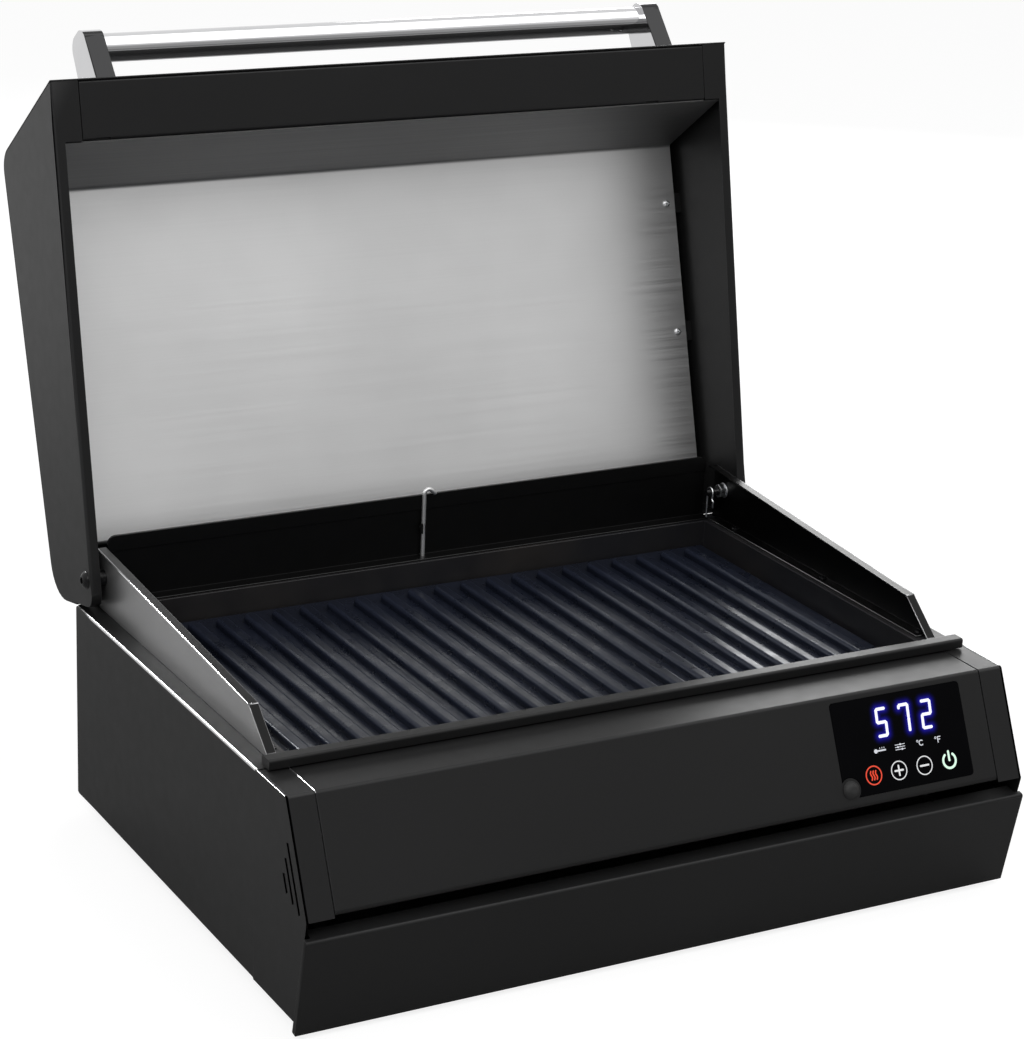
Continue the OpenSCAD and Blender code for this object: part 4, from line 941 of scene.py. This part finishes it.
class Wire:
    """A round wire that grows by straight stretches and bends."""

    def __init__(self, bm, start, heading, radius, segments=14, section=(1.0, 1.0)):
        self.bm = bm
        self.point = Vector(start)
        self.heading = Vector(heading).normalized()
        turn = self.heading.to_track_quat("Z", "Y").to_matrix().to_4x4()
        shape = Matrix.Diagonal((*section, 1.0, 1.0)) @ Matrix.Rotation(math.pi / segments, 4, "Z")
        ring = bmesh.ops.create_circle(
            bm, cap_ends=True, segments=segments, radius=radius,
            matrix=Matrix.Translation(self.point) @ turn @ shape)
        self.ring = list({edge for vert in ring["verts"] for edge in vert.link_edges})
        self.radius = radius

    def points(self):
        return list({vert for edge in self.ring for vert in edge.verts})

    def straight(self, length):
        made = bmesh.ops.extrude_edge_only(self.bm, edges=self.ring)["geom"]
        step = self.heading * length
        ends = set(verts_in(made))
        bmesh.ops.translate(self.bm, verts=list(ends), vec=step)
        self.ring = [edge for edge in edges_in(made) if set(edge.verts) <= ends]
        self.point += step
        return self

    def bend(self, towards, radius, angle, steps=10):
        """Turns the wire by an angle round a centre that lies in the direction of towards."""
        centre = self.point + Vector(towards).normalized() * radius
        axis = self.heading.cross(centre - self.point).normalized()
        made = bmesh.ops.spin(
            self.bm, geom=self.points() + self.ring, cent=centre, axis=axis, angle=angle, steps=steps)
        turn = Matrix.Rotation(angle, 3, axis)
        self.point = centre + turn @ (self.point - centre)
        self.heading = turn @ self.heading
        self.ring = edges_in(made["geom_last"])
        return self

    def end(self):
        """Rounds the wire off with a small cap."""
        for step, width in ((0.42, 0.8), (0.21, 0.45)):
            self.straight(self.radius * step)
            shrink = Matrix.Translation(self.point) @ Matrix.Scale(width, 4) @ Matrix.Translation(-self.point)
            bmesh.ops.transform(self.bm, matrix=shrink, verts=self.points())
        self.cap()

    def cap(self):
        """Closes the last end flat."""
        bmesh.ops.contextual_create(self.bm, geom=self.ring)
        bmesh.ops.recalc_face_normals(self.bm, faces=self.bm.faces)


class GRILL_OT_sheets(bpy.types.Operator):
    """Rounds the cut edges of the folded sheet of the base, the tray and the lid"""

    bl_idname = "grill.sheets"
    bl_label = "Folded sheet"

    SHEETS = (
        "left_side", "right_side", "rear_panel", "left_corner_strip", "right_corner_strip", "front_fascia",
        "trim_rail", "left_guard", "right_guard", "rear_guard", "drawer_front", "grease_tray",
        "chamber_tub", "lid_shell", "lid_left_side", "lid_right_side", "lid_front_flange", "lid_liner",
    )

    # Painted shade on the sheet round the cooking space, and on the cut edges of the sides towards the front
    PAINTED_SHADE_MARKS = {
        "left_guard": PaintedShade((-1.0, 0.0, 0.0), 59.0, 61.0),
        "right_guard": PaintedShade((1.0, 0.0, 0.0), 59.0, 61.0),
        "rear_guard": PaintedShade((0.0, 1.0, 0.0), 59.0, 61.0, 0.9),
        "lid_liner": PaintedShade((0.0, -0.962, 0.273), 8.0, 62.0, 0.65, (0.0, -0.812, 0.584)),
        "left_side": PaintedShade((0.0, 0.907, -0.42), 119.0, 121.0),
        "right_side": PaintedShade((0.0, 0.907, -0.42), 119.0, 121.0),
    }

    # Sheet with a rim in front of its ledge, which is painted as bare metal for a highlight
    RIMMED = ("left_side", "right_side")

    # Outer side of the sheet whose ends are rolled
    ENDS = {"front_fascia": (0.0, -0.6, 0.8)}

    # How far down from the top the edges keep their full wear and painted highlight
    FULL_HIGHLIGHT_DEPTH = {
        "left_side": 3.0 * MM, "right_side": 3.0 * MM, "left_guard": 22.0 * MM, "right_guard": 22.0 * MM,
        "front_fascia": 1.0 * MM,
    }

    # Share of the usual edge wear and painted highlight on the other edges, where it isn't a half
    WORN_AND_HIGHLIT = {"drawer_front": 0.15}

    def execute(self, context):
        sizes = sizes_of()
        for node in self.SHEETS:
            rounded_piece(
                node, sizes.sheet_edge,
                fold=sizes.hem_edge if "guard" in node else sizes.fold_edge,
                rim=sizes.rim_edge if node in self.RIMMED else 0.0,
                ends=self.ENDS.get(node),
                painted_shade_marks=self.PAINTED_SHADE_MARKS.get(node),
                worn_and_highlit=self.WORN_AND_HIGHLIT.get(node, 0.5),
                full_highlight_depth=self.FULL_HIGHLIGHT_DEPTH.get(node, 0.0))
        return {"FINISHED"}


class GRILL_OT_plate(bpy.types.Operator):
    """Rounds the tops of the plate's ridges"""

    bl_idname = "grill.plate"
    bl_label = "Grill plate"

    def execute(self, context):
        node = "grill_plate"
        bm = merged_copy(node)
        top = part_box(node)[1].z - 0.05 * MM
        crests = [
            edge for edge in bm.edges
            if all(vert.co.z > top for vert in edge.verts) and edge.calc_face_angle(0.0) > SHARP
        ]
        round_edges(bm, crests, sizes_of().ridge_edge, 4)
        even_stand_in(bm, "ridged_plate", node)
        return {"FINISHED"}


class GRILL_OT_handle(bpy.types.Operator):
    """Turns the chrome tube and rounds its two posts"""

    bl_idname = "grill.handle"
    bl_label = "Lid handle"

    def execute(self, context):
        node = "handle_tube"
        low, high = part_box(node)
        middle = (low + high) / 2
        radius = (high.y - low.y) / 2
        reach = (high.x - low.x) / 2
        lip, wall = 0.6 * MM, 1.5 * MM
        half = [(radius - wall, -reach), (radius - lip, -reach), (radius, lip - reach)]
        profile = half + [(r, -h) for r, h in reversed(half)]
        bm = turned(profile + profile[:1], 96)
        lay = Matrix.Translation(middle) @ Matrix.Rotation(math.pi / 2, 4, "Y")
        bmesh.ops.transform(bm, matrix=lay, verts=bm.verts)
        stand_in(bm, "chrome_tube", node)
        # Painted shade turns the posts' chrome near black on faces turned towards the front
        painted_dark_front = PaintedShade((0.0, 1.0, 0.0), 104.0, 106.0)
        for post in ("left_handle_post", "right_handle_post"):
            rounded_piece(post, sizes_of().post_edge, segments=3, shortest=0.4 * MM, painted_shade_marks=painted_dark_front)
        return {"FINISHED"}


class GRILL_OT_fasteners(bpy.types.Operator):
    """Makes the cross-head screws, the rivets and the hinge bolts"""

    bl_idname = "grill.fasteners"
    bl_label = "Screws, rivets and bolts"

    PIECES = {
        "guard_screws": (cross_head, "guard_cross_screws"),
        "liner_screws": (cross_head, "liner_cross_screws"),
        "body_screws": (cross_head, "body_cross_screws"),
        "lid_rivets": (domed_rivet, "lid_snap_rivets"),
        "hinge_bolts": (socket_bolt, "hinge_socket_bolts"),
    }

    def execute(self, context):
        for node, (shape_of, name) in self.PIECES.items():
            fastener_piece(node, shape_of, name)
        for node in ("hinge_nuts", "hinge_washers", "hinge_spacers"):
            rounded_piece(node, 0.3 * MM, shortest=0.3 * MM)
        return {"FINISHED"}


class GRILL_OT_wires(bpy.types.Operator):
    """Bends the temperature probe and the wire clips on the hinge bolts"""

    bl_idname = "grill.wires"
    bl_label = "Probe and clips"

    def execute(self, context):
        self.probe("temperature_probe", "probe_clip")
        self.clips("hairpin_clips")
        return {"FINISHED"}

    def probe(self, node, holder):
        low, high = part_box(node)
        radius = (high.y - low.y) / 2
        hook, curl, tip = 3.5 * MM, math.radians(130.0), 4.6 * MM
        stem = Vector((low.x + radius, (low.y + high.y) / 2, low.z))
        bm = bmesh.new()
        wire = Wire(bm, stem, UP, radius, 20)
        wire.straight(high.z - low.z - hook - radius)
        wire.bend(ACROSS, hook, curl, 16)
        wire.straight(tip).end()
        stand_in(bm, "bent_probe", node)
        self.snap_clip(holder, stem, radius)

    def snap_clip(self, node, stem, radius):
        """A strip bent round the probe from behind, open to the front, on a rivet."""
        low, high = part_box(node)
        thick, flare, rivet = 0.5 * MM, 0.9 * MM, 2.0 * MM
        middle = Vector((stem.x, stem.y, (low.z + high.z) / 2))
        bend = radius + 0.05 * MM + thick / 2
        mouth = math.radians(52.0)
        lip = math.radians(55.0)
        quarter = Matrix.Rotation(math.pi / 2, 3, "Z")
        out = Matrix.Rotation(-mouth, 3, "Z") @ Vector((0.0, -1.0, 0.0))
        heading = quarter.inverted() @ out
        start = middle + out * bend
        pivot = start + out * flare
        opened = Matrix.Rotation(-lip, 3, "Z")
        section = (thick / math.sqrt(2.0), (high.z - low.z) / math.sqrt(2.0))
        bm = bmesh.new()
        strip = Wire(bm, pivot + opened @ (start - pivot), opened @ heading, 1.0, 4, section)
        strip.bend(quarter @ strip.heading, flare, lip, 5)
        strip.bend(quarter.inverted() @ strip.heading, bend, math.tau - 2 * mouth, 28)
        strip.bend(quarter @ strip.heading, flare, lip, 5)
        strip.cap()
        back = middle.y + bend
        seat = Matrix.Translation((middle.x, (back + high.y) / 2, middle.z))
        bmesh.ops.create_cone(
            bm, cap_ends=True, segments=24, radius1=rivet, radius2=rivet, depth=high.y - back,
            matrix=seat @ Matrix.Rotation(math.pi / 2, 4, "X"))
        stand_in(bm, "probe_snap_clip", node)

    def clips(self, node):
        bm = bmesh.new()
        front, rear = (0.0, -1.0, 0.0), (0.0, 1.0, 0.0)
        wave, wave_radius = math.radians(38.0), 3.0 * MM
        for points in islands(node):
            low, high = Vector(points.min(0)), Vector(points.max(0))
            radius = (high.x - low.x) / 2
            loop = (high.y - low.y) / 2 - radius
            top = high.z - loop - radius
            start = Vector(((low.x + high.x) / 2, high.y - radius, low.z))
            wire = Wire(bm, start, UP, radius)
            wire.straight(top - low.z)
            wire.bend(front, loop, math.pi, 14)
            wire.straight(2.0 * MM)
            wire.bend(rear, wave_radius, wave, 5)
            wire.bend(front, wave_radius, 2 * wave, 8)
            wire.bend(rear, wave_radius, wave, 5)
            wire.straight(3.0 * MM).end()
        stand_in(bm, "spring_clips", node)


class Prints:
    """Flat signs drawn on the glass: x to the right and y up from its upper left corner, in metres."""

    def __init__(self):
        self.bm = bmesh.new()

    def stroke(self, start, end, width):
        """A line with round ends."""
        start, end = Vector((*start, 0.0)), Vector((*end, 0.0))
        span = end - start
        made = bmesh.ops.create_circle(
            self.bm, cap_ends=True, segments=20, radius=width / 2,
            matrix=Matrix.Rotation(math.tau / 40, 4, "Z"))["verts"]
        bmesh.ops.translate(
            self.bm, verts=[vert for vert in made if vert.co.x > 0.0], vec=(span.length, 0.0, 0.0))
        turn = Matrix.Rotation(math.atan2(span.y, span.x), 4, "Z")
        bmesh.ops.transform(self.bm, matrix=Matrix.Translation(start) @ turn, verts=made)

    def dot(self, centre, radius):
        bmesh.ops.create_circle(
            self.bm, cap_ends=True, segments=24, radius=radius,
            matrix=Matrix.Translation((*centre, 0.0)))

    def ring(self, centre, radius, width, start=0.0, sweep=math.tau):
        """A ring, or an arc of one that starts at an angle."""
        ways = Vector((math.cos(start), math.sin(start), 0.0))
        middle = Vector((*centre, 0.0))
        verts, edges = line_of(self.bm, [middle + ways * (radius + side * width / 2) for side in (-1, 1)])
        whole = sweep > math.tau - 0.001
        bmesh.ops.spin(
            self.bm, geom=verts + edges, cent=middle, axis=UP, angle=sweep, steps=48, use_merge=whole)
        if not whole:
            for angle in (start, start + sweep):
                tip = (middle.x + radius * math.cos(angle), middle.y + radius * math.sin(angle))
                self.dot(tip, width / 2)

    def thicken(self, depth):
        """Gives the signs a thickness, so that each is a closed thin plate."""
        bm = self.bm
        for face in bm.faces:
            face.normal_update()
            if face.normal.z > 0.0:
                face.normal_flip()
        made = bmesh.ops.extrude_face_region(bm, geom=bm.faces[:], use_keep_orig=True)["geom"]
        bmesh.ops.translate(bm, verts=verts_in(made), vec=(0.0, 0.0, depth))
        bmesh.ops.recalc_face_normals(bm, faces=bm.faces)


DIGIT_STROKES = {
    "2": ("top", "high_right", "middle", "low_left", "bottom"),
    "5": ("top", "high_left", "middle", "low_right", "bottom"),
    "7": ("hook", "top", "high_right", "low_right"),
}


def digit_lines(sign, centre, width, height, gap):
    """Start and end of each stroke of a seven-segment digit that leans a little."""
    w, h = width / 2, height / 2
    lines = {
        "top": ((gap - w, h), (w - gap, h)),
        "middle": ((gap - w, 0.0), (w - gap, 0.0)),
        "bottom": ((gap - w, -h), (w - gap, -h)),
        "high_left": ((-w, h - gap), (-w, gap)),
        "high_right": ((w, h - gap), (w, gap)),
        "low_left": ((-w, -gap), (-w, gap - h)),
        "low_right": ((w, -gap), (w, gap - h)),
        "hook": ((-w, h - gap), (-w, h * 0.82)),
    }
    lean = math.tan(math.radians(3.0))
    for name in DIGIT_STROKES[sign]:
        yield [(centre[0] + x + y * lean, centre[1] + y) for x, y in lines[name]]


def distance_to(point, line):
    """Distance of a point from a line between two points."""
    start, end = Vector(line[0]), Vector(line[1])
    span = end - start
    share = max(0.0, min(1.0, (point - start).dot(span) / max(span.length_squared, 1e-12)))
    return (point - start - span * share).length


class GRILL_OT_display(bpy.types.Operator):
    """Makes the touch glass, its digits with their halo, the small signs and the four keys"""

    bl_idname = "grill.display"
    bl_label = "Touch display"

    READING = "572"
    DIGIT_PLACES = (40.3 * MM, 59.6 * MM, 78.6 * MM)
    DIGIT_ROW = -18.9 * MM
    DIGIT_REACH = 6.0 * MM
    STROKE_GAP = 0.75 * MM
    SIGN_ROW = -38.0 * MM
    SIGN_PLACES = (35.0 * MM, 52.0 * MM, 69.5 * MM, 85.0 * MM)
    KEY_ROW = -54.0 * MM
    KEY_PLACES = (26.4 * MM, 47.8 * MM, 69.6 * MM, 91.2 * MM)
    HALO_REACH = 7.0 * MM

    def execute(self, context):
        rounded_piece("touch_glass", 0.3 * MM, shortest=0.4 * MM)
        self.lay = self.glass_frame()
        sizes = sizes_of()
        self.lines = [
            line for sign, x in zip(self.READING, self.DIGIT_PLACES)
            for line in digit_lines(
                sign, (x, self.DIGIT_ROW), sizes.digit_width, sizes.digit_height, self.STROKE_GAP)
        ]
        self.halo()
        self.digits(sizes)
        self.signs()
        self.adjust_keys(sizes)
        self.heat_key(sizes)
        self.power_key()
        return {"FINISHED"}

    def glass_frame(self):
        """The glass's upper left corner, with x across, y up the glass and z out of it."""
        out = Vector(JOINTS["plug_pull"]["axis"]).normalized()
        up = out.cross(ACROSS)
        points = [vert.co for vert in NODES["touch_glass"].data.vertices]
        lay = Matrix((ACROSS, up, out)).transposed().to_4x4()
        lay.translation = (
            ACROSS * min(point.x for point in points)
            + up * max(point.dot(up) for point in points)
            + out * max(point.dot(out) for point in points)
        )
        return lay

    def add(self, bm, name, material):
        bmesh.ops.transform(bm, matrix=self.lay, verts=bm.verts)
        return add_piece(bm, name, material, BODY["touch_glass"], SLOT["touch_glass"])

    def print_on(self, prints, name, material):
        lift = sizes_of().print_height
        prints.thicken(lift)
        bmesh.ops.translate(prints.bm, verts=prints.bm.verts, vec=(0.0, 0.0, lift))
        self.add(prints.bm, name, material)

    def halo(self):
        """A film on the glass that glows round the digits."""
        bm = bmesh.new()
        left = self.DIGIT_PLACES[0] - self.DIGIT_REACH - self.HALO_REACH
        right = self.DIGIT_PLACES[-1] + self.DIGIT_REACH + self.HALO_REACH
        tall = sizes_of().digit_height / 2 + self.HALO_REACH
        bmesh.ops.create_grid(bm, x_segments=104, y_segments=50, size=0.5)
        bmesh.ops.scale(bm, verts=bm.verts, vec=(right - left, 2 * tall, 1.0))
        bmesh.ops.translate(bm, verts=bm.verts, vec=((left + right) / 2, self.DIGIT_ROW, 0.01 * MM))
        glow = bm.verts.layers.float.new(GLOW)
        for vert in bm.verts:
            near = min(distance_to(vert.co.xy, line) for line in self.lines)
            vert[glow] = max(0.0, 1.0 - near / self.HALO_REACH) ** 3
        self.add(bm, "digit_halo", black_glass("glowing_glass"))

    def digits(self, sizes):
        prints = Prints()
        for start, end in self.lines:
            prints.stroke(start, end, sizes.digit_stroke)
        self.print_on(prints, "display_digits", lit_print("digit_light", finish_of().digits, 1.15))

    def signs(self):
        """A thermometer, a set of sliders, and the two signs of degrees."""
        prints = Prints()
        y = self.SIGN_ROW
        x = self.SIGN_PLACES[0]
        prints.dot((x - 3.6 * MM, y), 1.5 * MM)
        prints.stroke((x - 3.6 * MM, y), (x + 4.4 * MM, y), 1.1 * MM)
        for mark in (0.0, 1.8, 3.6):
            prints.stroke((x + mark * MM, y + 1.4 * MM), (x + mark * MM, y + 2.0 * MM), 0.5 * MM)
        x = self.SIGN_PLACES[1]
        for row, knob in ((-1.7, 1.6), (0.0, -1.8), (1.7, 0.4)):
            prints.stroke((x - 4.0 * MM, y + row * MM), (x + 4.0 * MM, y + row * MM), 0.5 * MM)
            prints.dot((x + knob * MM, y + row * MM), 0.75 * MM)
        for place in self.SIGN_PLACES[2:]:
            prints.ring((place - 2.4 * MM, y + 1.5 * MM), 0.65 * MM, 0.45 * MM)
        x = self.SIGN_PLACES[2] + 0.6 * MM
        prints.ring((x, y), 1.75 * MM, 0.7 * MM, math.radians(50.0), math.radians(260.0))
        x = self.SIGN_PLACES[3] - 0.6 * MM
        prints.stroke((x, y - 1.9 * MM), (x, y + 1.9 * MM), 0.7 * MM)
        prints.stroke((x, y + 1.9 * MM), (x + 2.3 * MM, y + 1.9 * MM), 0.7 * MM)
        prints.stroke((x, y + 0.1 * MM), (x + 1.8 * MM, y + 0.1 * MM), 0.7 * MM)
        self.print_on(prints, "display_signs", lit_print("sign_light", (0.78, 0.80, 0.86), 0.8))

    def adjust_keys(self, sizes):
        prints = Prints()
        arm, width = sizes.key_radius * 0.52, 1.35 * MM
        for place in self.KEY_PLACES[1:3]:
            prints.ring((place, self.KEY_ROW), sizes.key_radius, sizes.key_line)
            prints.stroke((place - arm, self.KEY_ROW), (place + arm, self.KEY_ROW), width)
        plus = self.KEY_PLACES[1]
        prints.stroke((plus, self.KEY_ROW - arm), (plus, self.KEY_ROW + arm), width)
        self.print_on(prints, "adjust_keys", lit_print("key_light", (0.86, 0.87, 0.88), 0.85))

    def heat_key(self, sizes):
        """A ring round three rising waves."""
        prints = Prints()
        middle, row = self.KEY_PLACES[0], self.KEY_ROW
        prints.ring((middle, row), sizes.key_radius, sizes.key_line * 1.2)
        tall, swing, steps = 3.0 * MM, 0.55 * MM, 8
        for column in (-2.1 * MM, 0.0, 2.1 * MM):
            wave = [
                (middle + column + swing * math.sin(math.tau * i / steps), row - tall + 2 * tall * i / steps)
                for i in range(steps + 1)
            ]
            for start, end in zip(wave, wave[1:]):
                prints.stroke(start, end, 1.0 * MM)
        self.print_on(prints, "heat_key", lit_print("heat_light", finish_of().heat_key, 0.95))

    def power_key(self):
        prints = Prints()
        middle, row = self.KEY_PLACES[3], self.KEY_ROW
        radius, width, gap = 5.3 * MM, 1.7 * MM, math.radians(38.0)
        prints.ring((middle, row), radius, width, math.pi / 2 + gap, math.tau - 2 * gap)
        prints.stroke((middle, row + 0.2 * MM), (middle, row + radius + 1.1 * MM), width)
        self.print_on(prints, "power_key", lit_print("power_light", finish_of().power_key, 1.0))


class GRILL_OT_plug(bpy.types.Operator):
    """Turns the rubber plug of the probe socket, with a thin rim and a dimple to lift it by"""

    bl_idname = "grill.plug"
    bl_label = "Probe plug"

    def execute(self, context):
        node = "probe_plug"
        place = fasteners(node)[0]
        radius, rim, shank = place.radius, 0.5 * MM, place.radius * 0.46
        dimple, dimple_radius = 0.5 * MM, 0.42 * radius
        profile = [
            (r, h - dimple * max(0.0, 1.0 - (r / dimple_radius) ** 2))
            for r, h in dome(radius, place.height, 12, share=0.93)
        ]
        profile += [(radius, rim), (radius, 0.0), (shank, 0.0), (shank, -place.shank), (0.0, -place.shank)]
        bm = turned(profile, 40)
        bmesh.ops.transform(bm, matrix=place.matrix(), verts=bm.verts)
        stand_in(bm, "rubber_plug", node)
        return {"FINISHED"}


class GRILL_OT_moulded(bpy.types.Operator):
    """Rounds the feet, the power inlet and the bottom pan"""

    bl_idname = "grill.moulded"
    bl_label = "Feet, inlet and pan"

    def execute(self, context):
        rounded_piece("feet", 0.5 * MM, shortest=0.3 * MM)
        rounded_piece("power_inlet", 0.5 * MM, segments=3, shortest=0.8 * MM)
        rounded_piece("bottom_pan", sizes_of().sheet_edge)
        return {"FINISHED"}


class GRILL_OT_inner(bpy.types.Operator):
    """Gives every CAD node that still shows its finish"""

    bl_idname = "grill.inner"
    bl_label = "Inner parts"

    def execute(self, context):
        for name, node in NODES.items():
            if node.hide_render:
                continue
            if not node.material_slots:
                raise RuntimeError(f"{name} has no material slot to dress")
            for place in node.material_slots:
                place.material = finish(SLOT[name])
        return {"FINISHED"}


class GRILL_OT_stage(bpy.types.Operator):
    """Sets the white floor, the soft boxes, the room and the camera"""

    bl_idname = "grill.stage"
    bl_label = "Studio"

    # Setting of the power, place, aim and size of each soft box
    SOFT_BOXES = {
        "key_box": ("key_power", (-1.7, -1.5, 2.1), (0.0, -0.1, 0.2), 1.5),
        "top_box": ("top_power", (0.8, -0.6, 2.4), (0.0, 0.0, 0.2), 2.3),
        "rim_box": ("rim_power", (-0.60, 1.76, 1.38), (-0.27, -0.05, 0.17), 0.35),
        "side_box": ("side_power", (1.5, 1.9, 1.05), (0.1, -0.1, 0.2), 1.1),
    }

    def execute(self, context):
        scene = context.scene
        stage = stage_of()
        self.floor(scene, stage)
        self.room(scene, stage)
        for name, (power, place, aim, size) in self.SOFT_BOXES.items():
            lamp = self.soft_box(scene, name, getattr(stage, power), place, aim, size)
            lamp.visible_diffuse = name != "rim_box"
        self.camera(scene, stage)
        scene.view_settings.view_transform = "Standard"
        return {"FINISHED"}

    def behind(self, tree, place, start, end):
        """0 in front of the grill and 1 behind it."""
        return tree.slope(tree.axis(place, "Y"), start, end)

    def seen(self, tree, mirrored):
        """1 for rays from the camera, the given value for mirrored and refracted ones, and 0 for others."""
        path = tree.node("ShaderNodeLightPath").outputs
        rays = tree.maths("MAXIMUM", path["Is Glossy Ray"], path["Is Transmission Ray"])
        return tree.maths("MAXIMUM", path["Is Camera Ray"], tree.maths("MULTIPLY", rays, mirrored))

    def floor(self, scene, stage):
        """White to the camera and in mirrored light far behind the grill, and grey to other light."""
        bm = bmesh.new()
        bmesh.ops.create_grid(bm, x_segments=4, y_segments=4, size=14.0)
        mesh = bpy.data.meshes.new("floor")
        bm.to_mesh(mesh)
        bm.free()
        floor = bpy.data.objects.new("floor", mesh)
        scene.collection.objects.link(floor)
        floor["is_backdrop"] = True
        material = bpy.data.materials.new("white_floor")
        mesh.materials.append(material)
        tree = Tree(material)
        shader = tree.tree.nodes["Principled BSDF"]
        camera_ray = tree.node("ShaderNodeLightPath").outputs["Is Camera Ray"]
        pale = tree.mix(camera_ray, (0.50, 0.50, 0.50, 1.0), (0.95, 0.95, 0.95, 1.0))
        tree.feed(shader.inputs["Base Color"], pale)
        tree.feed(shader.inputs["Roughness"], 0.9)
        tree.feed(shader.inputs["Specular IOR Level"], 0.0)
        place = tree.node("ShaderNodeTexCoord").outputs["Object"]
        away = tree.fed("ShaderNodeVectorMath", place, operation="LENGTH").outputs["Value"]
        mirrored = tree.maths("MULTIPLY", tree.slope(away, 0.6, 2.0), self.behind(tree, place, -0.7, 0.3))
        share = tree.maths("MULTIPLY", self.seen(tree, mirrored), stage.floor_white)
        tree.show("Material Output", share, shader, tree.fed("ShaderNodeEmission", WHITE, 1.2))

    def room(self, scene, stage):
        """White to the camera and in mirrored light, and a plain level of light on the object."""
        scene.world = bpy.data.worlds.new("white_room")
        tree = Tree(scene.world)
        light = tree.tree.nodes["Background"]
        tree.feed(light.inputs["Color"], WHITE)
        tree.feed(light.inputs["Strength"], stage.room_light)
        way = tree.node("ShaderNodeTexCoord").outputs["Generated"]
        above = tree.slope(tree.axis(way, "Z"), 0.22, 0.46)
        bright = tree.maths("MAXIMUM", above, self.behind(tree, way, -0.25, 0.3))
        white = tree.fed("ShaderNodeBackground", WHITE, 1.0)
        tree.show("World Output", self.seen(tree, bright), light, white)

    def soft_box(self, scene, name, power, place, aim, size):
        light = bpy.data.lights.new(name, "AREA")
        light.shape = "SQUARE"
        light.size = size
        light.energy = power
        lamp = bpy.data.objects.new(name, light)
        lamp.location = place
        lamp.rotation_euler = (Vector(aim) - Vector(place)).to_track_quat("-Z", "Y").to_euler()
        scene.collection.objects.link(lamp)
        return lamp

    def camera(self, scene, stage):
        turn, rise = stage.azimuth, stage.elevation
        back = Vector((math.sin(turn) * math.cos(rise), -math.cos(turn) * math.cos(rise), math.sin(rise)))
        right = UP.cross(back).normalized()
        up = back.cross(right)
        rolled = Matrix.Rotation(stage.roll, 3, back)
        axes = Matrix((rolled @ right, rolled @ up, back)).transposed().to_4x4()
        data = bpy.data.cameras.new("photo_camera")
        data.sensor_fit = "VERTICAL"
        data.sensor_height = 36.0
        data.lens = stage.lens
        data.clip_start = 0.05
        data.clip_end = 60.0
        camera = bpy.data.objects.new("photo_camera", data)
        camera.matrix_world = Matrix.Translation(Vector(stage.camera_place)) @ axes
        scene.collection.objects.link(camera)
        scene.camera = camera


OPERATORS = (
    GRILL_OT_stage, GRILL_OT_sheets, GRILL_OT_plate, GRILL_OT_handle, GRILL_OT_fasteners, GRILL_OT_wires,
    GRILL_OT_display, GRILL_OT_plug, GRILL_OT_moulded, GRILL_OT_inner,
)


class GRILL_PT_looks(bpy.types.Panel):
    """Lists the grill's pieces in the order in which they are made"""

    bl_idname = "GRILL_PT_looks"
    bl_label = "Electric grill"
    bl_space_type = "VIEW_3D"
    bl_region_type = "UI"
    bl_category = "Grill"

    def draw(self, context):
        column = self.layout.column()
        for operator in OPERATORS:
            column.operator(operator.bl_idname)
        for group in (finish_of(), sizes_of(), stage_of()):
            box = self.layout.box()
            for name in group.bl_rna.properties.keys():
                if name not in ("rna_type", "name"):
                    box.prop(group, name)


GROUPS = {"grill_finish": GrillFinish, "grill_sizes": GrillSizes, "grill_stage": GrillStage}


def register():
    for group in GROUPS.values():
        bpy.utils.register_class(group)
    for name, group in GROUPS.items():
        setattr(bpy.types.Scene, name, PointerProperty(type=group))
    for operator in OPERATORS:
        bpy.utils.register_class(operator)
    bpy.utils.register_class(GRILL_PT_looks)


def unregister():
    bpy.utils.unregister_class(GRILL_PT_looks)
    for operator in reversed(OPERATORS):
        bpy.utils.unregister_class(operator)
    for name, group in GROUPS.items():
        delattr(bpy.types.Scene, name)
        bpy.utils.unregister_class(group)


def main():
    register()
    for operator in OPERATORS:
        group, name = operator.bl_idname.split(".")
        getattr(getattr(bpy.ops, group), name)()
    boxes = {"cad": CAD_BOX, "visual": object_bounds()}
    {name: [list(corner) for corner in box] for name, box in boxes.items()}


if __name__ == "__main__":
    main()
